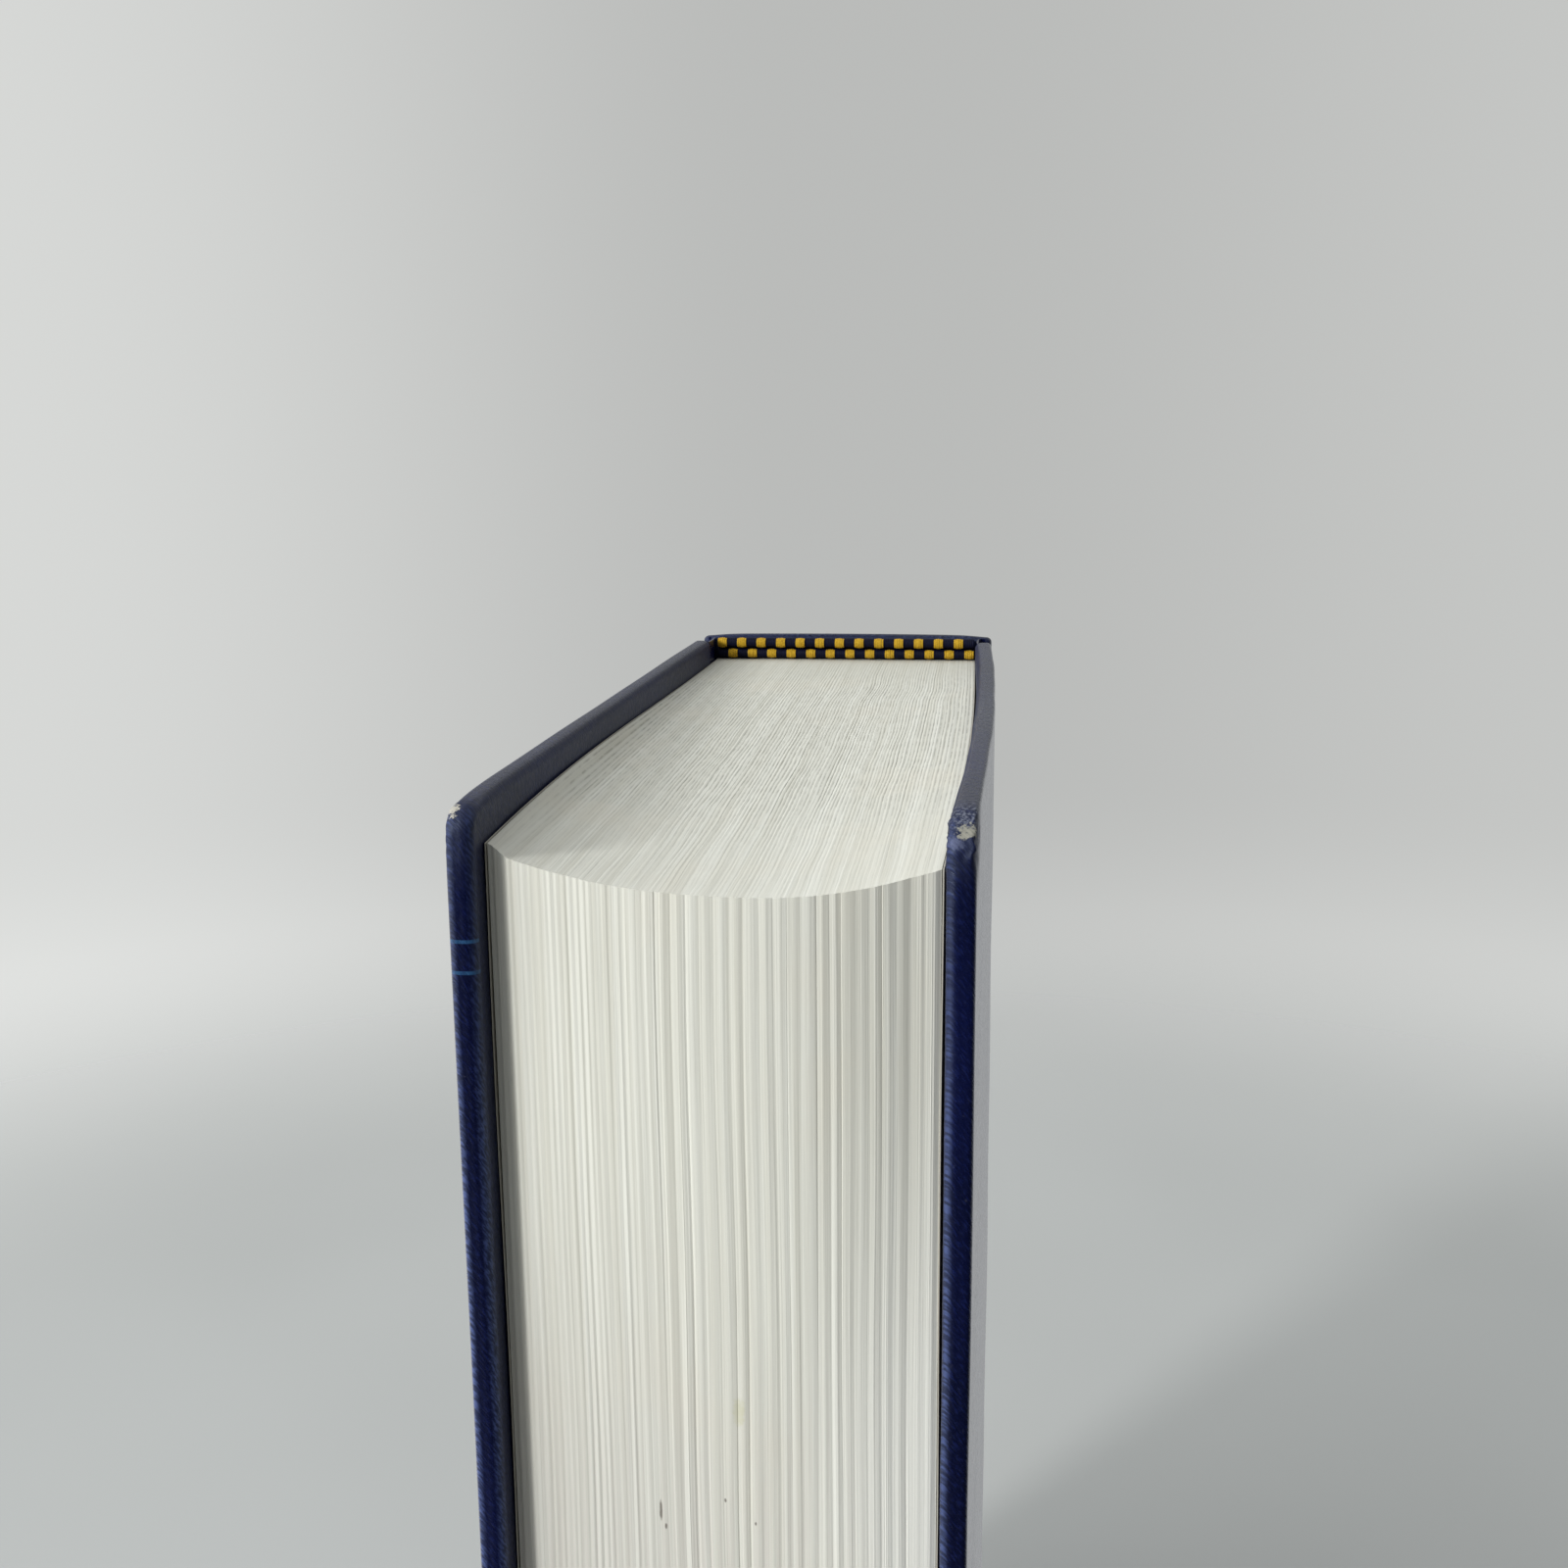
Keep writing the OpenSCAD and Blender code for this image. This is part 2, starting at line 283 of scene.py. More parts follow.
# Node trees of the materials and the world
class Nodes:
    """Short calls that build the nodes of a material or of the world."""

    def __init__(self, owner):
        owner.use_nodes = True
        self.tree = owner.node_tree
        self.tree.nodes.clear()

    def put(self, socket, value):
        if isinstance(value, bpy.types.NodeSocket):
            self.tree.links.new(value, socket)
        else:
            socket.default_value = value

    def node(self, kind, inputs=None, **settings):
        made = self.tree.nodes.new("ShaderNode" + kind)
        for key, value in settings.items():
            setattr(made, key, value)
        for key, value in (inputs or {}).items():
            self.put(made.inputs[key], value)
        return made

    def rest(self):
        return self.node("Attribute", attribute_name="rest").outputs["Vector"]

    def value(self, name):
        return self.node("Attribute", attribute_name=name).outputs["Fac"]

    def here(self):
        coords = self.node("TexCoord").outputs["Object"]
        return self.node("Mapping", {"Vector": coords, "Scale": (1 / MM,) * 3}).outputs[0]

    def mapped(self, vector, scale, turn=(0, 0, 0)):
        turned_first = self.node("Mapping", {"Vector": vector, "Rotation": turn}).outputs[0]
        return self.node("Mapping", {"Vector": turned_first, "Scale": scale}).outputs[0]

    def noise(self, vector, scale=1.0, detail=2.0, rough=0.5):
        inputs = {"Vector": vector, "Scale": scale, "Detail": detail, "Roughness": rough}
        return self.node("TexNoise", inputs).outputs[0]

    def math(self, kind, a, b=0.0):
        return self.node("Math", {0: a, 1: b}, operation=kind).outputs[0]

    def times(self, a, b):
        return self.math("MULTIPLY", a, b)

    def plus(self, a, b):
        return self.math("ADD", a, b)

    def minus(self, a, b):
        return self.math("SUBTRACT", a, b)

    def most(self, a, b):
        return self.math("MAXIMUM", a, b)

    def toward(self, vector, direction):
        inputs = {0: vector, 1: direction}
        return self.node("VectorMath", inputs, operation="DOT_PRODUCT").outputs["Value"]

    def length(self, vector):
        return self.node("VectorMath", {0: vector}, operation="LENGTH").outputs["Value"]

    def span(self, value, low, high, to_low=0.0, to_high=1.0):
        inputs = {"Value": value, "From Min": low, "From Max": high, "To Min": to_low, "To Max": to_high}
        return self.node("MapRange", inputs, interpolation_type="SMOOTHSTEP").outputs[0]

    def mix(self, factor, a, b):
        made = self.node("Mix", data_type="RGBA")
        for k, value in ((0, factor), (6, a), (7, b)):
            self.put(made.inputs[k], value)
        return made.outputs[2]

    def axes(self, vector):
        return self.node("SeparateXYZ", {0: vector}).outputs[:3]

    def join(self, x, y, z):
        return self.node("CombineXYZ", {0: x, 1: y, 2: z}).outputs[0]

    def bump(self, height, strength, distance, normal=None):
        inputs = {"Height": height, "Strength": strength, "Distance": distance * MM}
        if normal is not None:
            inputs["Normal"] = normal
        return self.node("Bump", inputs).outputs[0]


class Surface(Nodes):
    """Nodes of one material, which ends in one principled shader."""

    def __init__(self, name):
        self.material = bpy.data.materials.new(name)
        super().__init__(self.material)
        self.out = self.node("OutputMaterial")
        self.shader = self.node("BsdfPrincipled")
        self.put(self.out.inputs[0], self.shader.outputs[0])

    def surface(self, **values):
        for key, value in values.items():
            self.put(self.shader.inputs[key.replace("_", " ")], value)


def srgb(r, g, b):
    """A colour written as on screen, from 0 to 255, as linear values."""
    def linear(c):
        c = c / 255
        return c / 12.92 if c <= 0.04045 else ((c + 0.055) / 1.055) ** 2.4
    return (linear(r), linear(g), linear(b), 1.0)


# Paper
# Run along the edge of a leaf, from 0 at the lower end of the fore edge
TAIL_RUN, FORE_RUN, HEAD_RUN = 150.0, 231.0, 149.0
END_RUN = FORE_RUN + HEAD_RUN
# Marks on the fore edge: place across, height, half width and half height
STAIN = (2.6, 169.0, 0.9, 2.2)
DARK_MARKS = (
    (-7.1, 155.0, 0.22, 1.7),
    (-6.5, 152.9, 0.2, 0.5),
    (0.8, 157.2, 0.18, 0.35),
    (4.4, 154.4, 0.16, 0.3),
)
STAIN_RAGGED, MARK_RAGGED, MARK_Y = 1.6, 0.9, (-60.0, -68.0)


def fore_spot(n, mark, ragged):
    """Ragged round spot on the fore edge."""
    place_x, place_z, half_wide, half_tall = mark
    x, y, z = n.axes(n.rest())
    dx = n.math("DIVIDE", n.minus(x, place_x), half_wide)
    dz = n.math("DIVIDE", n.minus(z, place_z), half_tall)
    uneven = n.times(n.minus(n.noise(n.rest(), 1.6, 3.0), 0.5), ragged)
    near = n.plus(n.plus(n.times(dx, dx), n.times(dz, dz)), uneven)
    return n.times(n.span(near, 1.0, 0.1), n.span(y, *MARK_Y))


def fore_tints_and_light(n, colour, fine):
    """Pink tint low on the fore edge, darker low on its left, and painted light low on its right."""
    x, _, z = n.axes(n.rest())
    pink = n.times(n.span(fine, 0.35, 0.6), n.span(z, 190.0, 120.0, 0.0, 0.35))
    colour = n.mix(pink, colour, srgb(214, 202, 197))
    low_left = n.times(n.span(z, 215.0, 140.0, 0.0, 0.45), n.span(x, 12.0, -16.0, 0.1, 1.0))
    colour = n.mix(low_left, colour, srgb(186, 184, 177))
    # Painted light: paler low on the right of the fore edge
    low_right = n.times(n.span(z, 215.0, 160.0, 0.0, 0.75), n.span(x, 6.0, 22.0))
    return n.mix(low_right, colour, srgb(244, 244, 236))


def page_edge_material():
    """Cut edges of the pages: lines along the leaves, painted shade between the folds and by the band,
    tints, painted light low on the fore edge, and marks.
    """
    n = Surface("page_edges")
    leaf, run = n.value("leaf"), n.value("run")

    def streaks(stretch, slice_at, scale, detail, rough):
        return n.noise(n.join(leaf, n.times(run, stretch), slice_at), scale, detail, rough)

    bands = streaks(0.005, 0.0, 0.62, 2.0, 0.6)
    fine = streaks(0.010, 4.0, 2.3, 3.0, 0.6)
    gaps = streaks(0.25, 8.0, 1.1, 3.0, 0.7)
    blotch = n.noise(n.rest(), 0.05, 3.0, 0.55)
    colour = n.mix(n.span(bands, 0.3, 0.7), srgb(217, 216, 204), srgb(227, 227, 217))
    colour = n.mix(n.span(fine, 0.42, 0.72, 0.0, 0.4), colour, srgb(194, 193, 181))
    # Painted shade in the gaps between the folds on the head, as broken dark lines, weaker by the fore edge
    # and by the band
    by_fore = n.span(run, FORE_RUN + 9, FORE_RUN + 54, 0.25, 1.0)
    by_band = n.span(run, END_RUN, END_RUN - 35, 0.3, 1.0)
    painted_fold_shade = n.times(n.span(gaps, 0.35, 0.65, 0.15, 0.75), n.times(by_fore, by_band))
    colour = n.mix(n.times(n.value("seam"), painted_fold_shade), colour, srgb(140, 138, 126))
    colour = n.mix(n.span(blotch, 0.5, 0.75, 0.0, 0.3), colour, srgb(222, 216, 200))
    # Painted shade on the head of the pages by the band and the spine
    band_shade = n.span(run, END_RUN - 40, END_RUN - 2, 0.0, 0.4)
    colour = n.mix(band_shade, colour, srgb(184, 182, 168))
    colour = fore_tints_and_light(n, colour, fine)
    colour = n.mix(n.times(fore_spot(n, STAIN, STAIN_RAGGED), 0.3), colour, srgb(188, 186, 128))
    for mark in DARK_MARKS:
        colour = n.mix(n.times(fore_spot(n, mark, MARK_RAGGED), 0.75), colour, srgb(84, 74, 66))
    n.surface(Base_Color=colour, Roughness=0.88, Specular_IOR_Level=0.2)
    n.surface(Normal=n.bump(fine, 0.5, 0.12))
    return n.material


def paper_material(name, base, aged):
    """Flat side of a leaf: cloudy ageing and short fibres."""
    n = Surface(name)
    rest = n.rest()
    fibre = n.noise(n.mapped(rest, (1.0, 2.2, 6.0), (0.3, 0.0, 0.0)), 1.4, 4.0, 0.6)
    cloud = n.noise(rest, 0.035, 3.0, 0.55)
    colour = n.mix(n.span(cloud, 0.4, 0.7), base, aged)
    colour = n.mix(n.span(fibre, 0.6, 0.8, 0.0, 0.2), colour, srgb(152, 146, 130))
    n.surface(Base_Color=colour, Roughness=0.82, Specular_IOR_Level=0.25)
    n.surface(Normal=n.bump(fibre, 0.25, 0.06))
    return n.material


# Covering
# Slope of the grain, and how close its strokes lie
GRAIN_COS, GRAIN_SIN = 0.6, 0.8
GRAIN_ACROSS, GRAIN_ALONG = 3.6, 0.8
# The two rules printed near the head of the front cover
RULE_TOPS = (COVER_H - 15.3, COVER_H - 18.95)
RULE_W, RULE_BLUR = 0.55, 0.13
# Heights between which the painted highlight of pale strokes on the rounded fore edges grows
HIGHLIGHT_STROKE_Z = (228.0, 195.0)
BLUE_SHEEN = (0.66, 0.78, 1.0, 1.0)


def slanted_grain(n, rest):
    """Fine slanted strokes of the covering's grain."""
    x, y, z = n.axes(rest)
    wide = n.plus(x, y)
    along = n.minus(n.times(wide, GRAIN_COS), n.times(z, GRAIN_SIN))
    across = n.plus(n.times(wide, GRAIN_SIN), n.times(z, GRAIN_COS))
    strokes = n.join(n.times(across, GRAIN_ACROSS), n.times(along, GRAIN_ALONG), 0.0)
    return n.noise(strokes, 1.0, 2.0, 0.55)


def printed_rules(n, z, pores):
    """The two plain rules across the front cover, worn in places and not on the turn-ins."""
    def rule(top):
        low = top - RULE_W
        return n.times(n.span(z, low, low + RULE_BLUR), n.span(z, top, top - RULE_BLUR))
    inked = n.times(n.span(pores, 0.3, 0.55, 0.35, 0.8), n.minus(1.0, n.value("turned_in")))
    upper, lower = (rule(top) for top in RULE_TOPS)
    return n.times(n.most(upper, lower), inked)


def ragged_value(n, rest, name, amount):
    """A value kept on the points, made ragged by an amount of noise."""
    ragged = n.noise(rest, 1.5, 5.0, 0.75)
    return n.plus(n.value(name), n.times(n.minus(ragged, 0.5), amount))


def scuffed(n, colour, rest):
    """The colour with pale scuffs along the edges, and worn lamination with a painted glint on a crumpled
    corner.
    """
    scuffs = n.times(n.value("edge"), n.span(n.noise(rest, 1.3, 5.0, 0.75), 0.62, 0.74))
    colour = n.mix(n.times(scuffs, 0.22), colour, srgb(96, 100, 118))
    mottled = n.times(n.value("scuffed_head"), n.span(n.noise(rest, 2.0, 4.0, 0.7), 0.47, 0.62))
    colour = n.mix(n.times(mottled, 0.5), colour, srgb(112, 116, 130))
    # Worn lamination with a painted glint on the crumpled head corner of the back cover
    fray_glint_mask = n.span(ragged_value(n, rest, "fray_glint", 1.4), 0.4, 0.9)
    return n.mix(n.times(fray_glint_mask, 0.75), colour, srgb(92, 98, 128))


def covering_material(name, ruled, board_colour):
    """Dark blue laminated covering with a fine slanted grain, worn at its edges and corners."""
    n = Surface(name)
    rest = n.rest()
    z = n.axes(rest)[2]
    grain = slanted_grain(n, rest)
    pores = n.noise(n.mapped(rest, (1.0, 1.0, 0.8)), 1.5, 4.0, 0.65)
    cloud = n.noise(rest, 0.03, 3.0, 0.5)
    colour = n.mix(n.span(cloud, 0.35, 0.7), srgb(4, 8, 40), srgb(6, 12, 54))
    colour = n.mix(n.span(grain, 0.48, 0.68, 0.0, 0.45), colour, srgb(22, 33, 88))
    # Painted highlight: pale strokes on the rounded fore edges
    strokes = n.times(n.span(grain, 0.42, 0.6, 0.2, 1.0), n.span(z, *HIGHLIGHT_STROKE_Z, 0.3, 0.8))
    colour = n.mix(n.times(strokes, n.value("shoulder_highlight")), colour, srgb(86, 102, 154))
    if ruled:
        colour = n.mix(printed_rules(n, z, pores), colour, srgb(44, 86, 128))
    colour = scuffed(n, colour, rest)
    bare = n.span(ragged_value(n, rest, "corner", 2.2), 0.6, 0.8)
    colour = n.mix(n.times(bare, 0.88), colour, board_colour)
    inside, rubbed = n.value("inside"), n.value("rubbed")
    rough = n.plus(n.span(pores, 0.3, 0.7, 0.22, 0.32), n.times(bare, 0.5))
    rough = n.plus(rough, n.times(n.most(inside, rubbed), 0.28))
    matt = n.most(n.most(bare, rubbed), inside)
    n.surface(Base_Color=colour, Roughness=rough, Specular_IOR_Level=0.5, Specular_Tint=BLUE_SHEEN)
    n.surface(Coat_Weight=n.span(matt, 0.0, 1.0, 0.3, 0.0), Coat_Roughness=0.15)
    # Wrinkles on the head edge, and the grain and pores everywhere
    at_head = n.times(n.value("edge"), n.span(z, COVER_H - 0.6, COVER_H - 0.1))
    relief = n.bump(n.times(n.noise(rest, 1.2, 3.0, 0.65), at_head), 0.9, 0.5)
    n.surface(Normal=n.bump(n.plus(grain, n.times(pores, 0.2)), 0.9, 0.11, relief))
    return n.material


# Thread and gauze
# Threads of the gauze, as an angle for each millimetre
WEAVE_RATE = 6.0


def thread_material(name, dark, light):
    """Twisted silk thread."""
    n = Surface(name)
    rest = n.rest()
    twist = n.noise(n.mapped(rest, (5.0, 1.2, 1.2), (0.0, 0.5, 0.0)), 2.4, 3.0, 0.6)
    shade = n.noise(rest, 0.7, 2.0, 0.5)
    colour = n.mix(n.span(twist, 0.3, 0.7), dark, light)
    colour = n.mix(n.span(shade, 0.55, 0.75, 0.0, 0.3), colour, dark)
    n.surface(Base_Color=colour, Roughness=0.6, Specular_IOR_Level=0.15)
    n.surface(Normal=n.bump(twist, 0.5, 0.06))
    return n.material


def gauze_material():
    """Open weave of the spine lining, with patches of glue."""
    n = Surface("gauze_weave")
    here = n.here()
    x, _, z = n.axes(here)
    warp, weft = (n.math("SINE", n.times(axis, WEAVE_RATE)) for axis in (x, z))
    weave = n.span(n.most(warp, weft), 0.2, 0.9)
    glue = n.noise(here, 0.12, 3.0)
    colour = n.mix(weave, srgb(150, 132, 98), srgb(206, 196, 172))
    colour = n.mix(n.span(glue, 0.5, 0.75, 0.0, 0.5), colour, srgb(176, 150, 100))
    n.surface(Base_Color=colour, Roughness=0.85)
    n.surface(Normal=n.bump(weave, 0.5, 0.15))
    return n.material


page_edges = page_edge_material()
leaf_paper = paper_material("leaf_paper", srgb(194, 190, 178), srgb(190, 184, 169))
end_paper = paper_material("end_paper", srgb(194, 191, 181), srgb(190, 185, 172))
front_covering = covering_material("covering_front", True, srgb(188, 184, 171))
plain_covering = covering_material("covering_plain", False, srgb(156, 154, 141))
dark_thread = thread_material("thread_dark", srgb(3, 4, 16), srgb(8, 14, 50))
light_thread = thread_material("thread_light", srgb(168, 126, 20), srgb(216, 178, 52))
gauze = gauze_material()


def dress(piece, material, body, slot_name, *nodes):
    """Gives a piece its material and body, and hides the CAD nodes it stands for; its slot name is not
    used.
    """
    piece.data.materials.append(material)
    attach(piece, body)
    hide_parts(*nodes)


# Pages
# How the pages fan out towards the fore edge, and bow outwards on the way
PAGE_FAN = {FRONT: 0.036, BACK: 0.028}
PAGE_BOW = {FRONT: 0.2, BACK: 1.2}
# The first leaves settle less and their heads stand up, and the last leaves come forward
FIRST_UPRIGHT, FIRST_U = 0.9, 22.2
HEAD_LIFT, LIFT_U = 1.1, 23.0
LAST_FORWARD, LAST_U = 0.55, (21.6, 24.4)
# Uneven signatures: shares of the thickness, ridges on the fore edge, and gaps between them
SHARE_SPREAD, SHARE_LIMITS = 0.10, (0.7, 1.3)
RIDGE, RIDGE_FALL, RIDGE_SPREAD = 0.085, 0.02, (0.75, 1.25)
NARROW_U = (-14.0, -3.0)
GAP, DEEP_GAP, DEEP_SHARE, GAP_HALF = 0.014, 0.035, 0.22, 0.13
# Folds on the head, and roughness of the single leaves
FOLDS, FOLD, FOLD_SPREAD = 3, 0.04, (0.7, 1.3)
FORE_ROUGH, HEAD_ROUGH = 0.009, 0.008
# Ridges grow, shrink and lean along the fore edge, each signature in its own phase
PHASE_STEP = 1.7
BREATHE, BREATHE_LENGTH = 0.35, 37.0
LEAN, LEAN_LENGTH, LEAN_TURN = 0.03, 60.0, 137.5
# Share of the head's unevenness that is left by the fore edge and by the band
FORE_SHARE, BAND_SHARE = 0.45, 0.5
# Sideways wander of the leaves, a fine ripple, and one stronger wave on the head
WANDER, WANDER_LENGTHS = 0.10, (14.0, 90.0, 120.0)
RIPPLE, RIPPLE_LENGTHS = 0.03, (9.0, 9.0, 300.0)
WAVE, WAVE_Y, WAVE_REACH, WAVE_STEP, WAVE_U = 0.28, 38, 14, 5, (-8, 14)
FREE_Y = 50.0
# How far the flyleaves stand off the pages at the fore edge
FLYLEAF_LIFT = {FRONT: 0.14, BACK: 0.05}
FLYLEAF_WAVE, FLYLEAF_LENGTHS = 0.6, (70.0, 90.0)
FLYLEAF_HEAD_POWER = 9


def leaf_shape(u):
    """Settle and forward bulge of the pages at each place u across them."""
    reach = TEXT_HALF + np.where(u < DROOP_OFFSET, 1, -1) * DROOP_OFFSET
    held = np.minimum(np.abs(u - DROOP_OFFSET) / reach, 1.0) ** DROOP_POWER
    side_settle = np.where(u < DROOP_OFFSET, SIDE_SETTLE[FRONT], SIDE_SETTLE[BACK])
    upright = FIRST_UPRIGHT * smooth(FIRST_U, TEXT_HALF, -u)
    forward = LAST_FORWARD * smooth(*LAST_U, u)
    settle = MIDDLE_SETTLE - (MIDDLE_SETTLE - side_settle) * held - upright
    return settle, FORE_BULGE * (1 - held) + forward


def fanned(u, y):
    """Sideways place of a leaf, as the pages fan out and follow the bowed back cover."""
    along = (TEXT_BACK_Y - y) / (TEXT_BACK_Y - TEXT_FORE_Y)
    fan = np.where(u > 0, PAGE_FAN[BACK], PAGE_FAN[FRONT])
    bow = np.clip(u / TEXT_HALF, -1, 1) ** 3 * np.where(u > 0, PAGE_BOW[BACK], PAGE_BOW[FRONT])
    return u * (1 + fan * along) + bow * np.sin(pi * np.clip(along, 0, 1))


def head_lift(u, near_fore):
    """How far the first leaves stand up at the head, by their share of the way to the fore edge."""
    return HEAD_LIFT * smooth(LIFT_U, TEXT_HALF, -u) * np.sin(pi * near_fore ** 2.0)


def leaf_shares():
    """Shares along the tail, fore edge and head of a leaf, each corner once."""
    tail, fore, head = (np.linspace(0, 1, k + 1) for k in LEAF_STEPS)
    return tail[:-1], fore, head[1:]


def leaf_run():
    """Run along the edge of a leaf, below 0 on the tail and above FORE_RUN on the head."""
    tail, fore, head = leaf_shares()
    return np.concatenate([-TAIL_RUN * (1 - tail), FORE_RUN * fore, FORE_RUN + HEAD_RUN * head])


def leaf_loop(u, settle, bulge):
    """Edge of one leaf along tail, fore edge and head, as depth and height."""
    tail, fore, head = leaf_shares()
    spine_tail = np.array([TEXT_BACK_Y, TEXT_TAIL_Z])
    spine_head = np.array([TEXT_BACK_Y, TEXT_HEAD_Z])
    fore_head = np.array([TEXT_FORE_Y - bulge, TEXT_HEAD_Z - settle])
    fore_tail = np.array([TEXT_FORE_Y - bulge * TAIL_BULGE_SHARE, TEXT_TAIL_Z - settle])
    points = [spine_tail * (1 - t) + fore_tail * t for t in tail]
    points += [fore_tail * (1 - t) + fore_head * t for t in fore]
    points += [fore_head * (1 - t) + spine_head * t + (0, head_lift(u, 1 - t)) for t in head]
    return np.array(points)


def leaf_side():
    """Faces of the flat side of a leaf, whose head and tail have the same steps."""
    tail_n, fore_n, head_n = LEAF_STEPS
    last = sum(LEAF_STEPS)
    made = [(k, k + 1, last - k - 1, last - k) for k in range(head_n)]
    return made + [tuple(range(tail_n, tail_n + fore_n + 1))]


def page_columns():
    """Places across the pages, and how far fore edge and head lie back at each."""
    random = np.random.default_rng(PAGE_SEED)
    share = np.clip(1 + SHARE_SPREAD * random.normal(size=SIGNATURES), *SHARE_LIMITS)
    bounds = TEXT_HALF * (2 * np.concatenate([[0], np.cumsum(share)]) / share.sum() - 1)
    columns = np.linspace(-TEXT_HALF, TEXT_HALF, SIGNATURES * STRIPS_PER_SIGNATURE + 1)
    which = np.clip(np.searchsorted(bounds, columns, side="right") - 1, 0, SIGNATURES - 1)
    across = 2 * (columns - bounds[which]) / (bounds[which + 1] - bounds[which]) - 1
    swell = RIDGE - RIDGE_FALL * (columns / TEXT_HALF + 1) / 2
    swell = swell * random.uniform(*RIDGE_SPREAD, SIGNATURES)[which]
    narrow = 1 - smooth(*NARROW_U, columns)
    ridge = 1 - np.cos(pi * across) * (1 - narrow) - np.cos(2 * pi * across) * narrow
    depths = np.where(random.uniform(size=SIGNATURES + 1) < DEEP_SHARE, DEEP_GAP, GAP)
    gap = np.zeros_like(columns)
    for place, depth in zip(bounds[1:-1], depths[1:-1]):
        gap += depth * np.exp(-((columns - place) / GAP_HALF) ** 2)
    fore = swell * ridge / 2 + gap + random.normal(0, FORE_ROUGH, len(columns))
    folds = 0.5 + 0.5 * np.cos(FOLDS * pi * (across + 1))
    fold_depths = FOLD * random.uniform(*FOLD_SPREAD, SIGNATURES)[which]
    head = fold_depths * folds ** 3 + random.normal(0, HEAD_ROUGH, len(columns))
    return columns, which, fore, head, folds ** 4


def wander(u, loop):
    """Sideways wander of one leaf's edge, none at the covers and the spine."""
    here = np.column_stack([np.full(len(loop), u), loop])
    y = loop[:, 0]
    shift = WANDER * wavy(WANDER_SEED, here, WANDER_LENGTHS)
    shift += RIPPLE * wavy(RIPPLE_SEED, here, RIPPLE_LENGTHS)
    wave = np.exp(-((y - WAVE_Y) / WAVE_REACH) ** 2) * np.sin((y - WAVE_Y) / WAVE_STEP)
    shift += WAVE * wave * smooth(*WAVE_U, u)
    return shift * ((1 - (u / TEXT_HALF) ** 4) * smooth(TEXT_BACK_Y, FREE_Y, y))


def make_pages():
    """All the pages as one form, uneven along its three cut edges."""
    columns, which, fore_back, head_back, folds = page_columns()
    settles, bulges = leaf_shape(columns)
    run = leaf_run()
    on_tail, on_head = run < 0, run > FORE_RUN
    on_fore = ~(on_tail | on_head)
    by_fore = FORE_SHARE + (1 - FORE_SHARE) * smooth(FORE_RUN + 7, FORE_RUN + 59, run)
    by_band = 1 - (1 - BAND_SHARE) * smooth(END_RUN - 35, END_RUN, run)
    points = []
    for k, u in enumerate(columns):
        loop = leaf_loop(u, settles[k], bulges[k])
        phase = PHASE_STEP * which[k]
        breathe = 1 + BREATHE * np.sin(run / BREATHE_LENGTH + phase)
        lean = LEAN * sin(radians(LEAN_TURN * which[k])) * np.sin(run / LEAN_LENGTH + phase)
        loop[on_fore, 0] += (fore_back[k] * breathe + lean)[on_fore]
        loop[on_head, 1] -= (head_back[k] * (by_fore * by_band))[on_head]
        loop[on_tail, 1] += abs(head_back[k])
        points.append(np.column_stack([fanned(u, loop[:, 0]) + wander(u, loop), loop]))
    count = len(run)
    faces = ring_faces(len(columns), count)
    for c, flip in ((0, True), (len(columns) - 1, False)):
        faces += turned([tuple(c * count + j for j in face) for face in leaf_side()], flip)
    values = {
        "leaf": np.repeat(columns, count),
        "run": np.tile(run, len(columns)),
        # Where painted shade falls in the gaps between the folds on the head
        "seam": np.outer(folds, on_head).ravel(),
    }
    return make_piece("pages", np.concatenate(points), faces, values, SHEET_SHARP)


def make_flyleaf(side, word):
    """First or last leaf, which stands off the pages a little towards the fore edge."""
    settle, bulge = (float(v[0]) for v in leaf_shape(np.array([side * TEXT_HALF])))
    depth, height = grid_of(*(np.linspace(0, 1, count) for count in FLYLEAF_GRID))
    fore = TEXT_FORE_Y - bulge * (TAIL_BULGE_SHARE + (1 - TAIL_BULGE_SHARE) * height)
    y = fore + (TEXT_BACK_Y - fore) * depth
    u = np.full_like(y, side * TEXT_HALF)
    z = TEXT_TAIL_Z + (TEXT_HEAD_Z - TEXT_TAIL_Z) * height - settle * (1 - depth)
    z = z + height ** FLYLEAF_HEAD_POWER * head_lift(u, 1 - depth)
    uneven = 1 + FLYLEAF_WAVE * wavy(FLYLEAF_SEED + side, np.column_stack([y, z]), FLYLEAF_LENGTHS)
    lift = (1 - depth) ** 2 * FLYLEAF_LIFT[side] * uneven
    inner_u = np.abs(fanned(u, y)) + CLEARANCE + np.maximum(lift, 0.0)
    inner = np.column_stack([side * inner_u, y, z])
    outer = np.column_stack([side * (inner_u + PAPER_T), y, z])
    points, faces = thin_sheet(*FLYLEAF_GRID, inner, outer)
    return make_piece("flyleaf_" + word, points, turned(faces, side == FRONT), sharp_deg=SHEET_SHARP)


dress(make_pages(), page_edges, "book_block", "pages", "text_block")
for side, word in SIDES:
    dress(make_flyleaf(side, word), leaf_paper, "book_block", "endpaper", word + "_flyleaf")
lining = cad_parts["spine_lining"].data.materials
lining.clear()
lining.append(gauze)


# Covered boards and spine
# Rounding of the fore corners and of the outer edges
HEAD_R = {FRONT: 3.0, BACK: 3.6}
TAIL_R = 2.2
OUTER_R = {FRONT: 0.9, BACK: 0.6}
# Step and mitred seam of the turn-ins
STEP_BLUR = 0.3
SEAM_DEPTH, SEAM_HALF, SEAM_START = 0.05, 0.05, 1.9
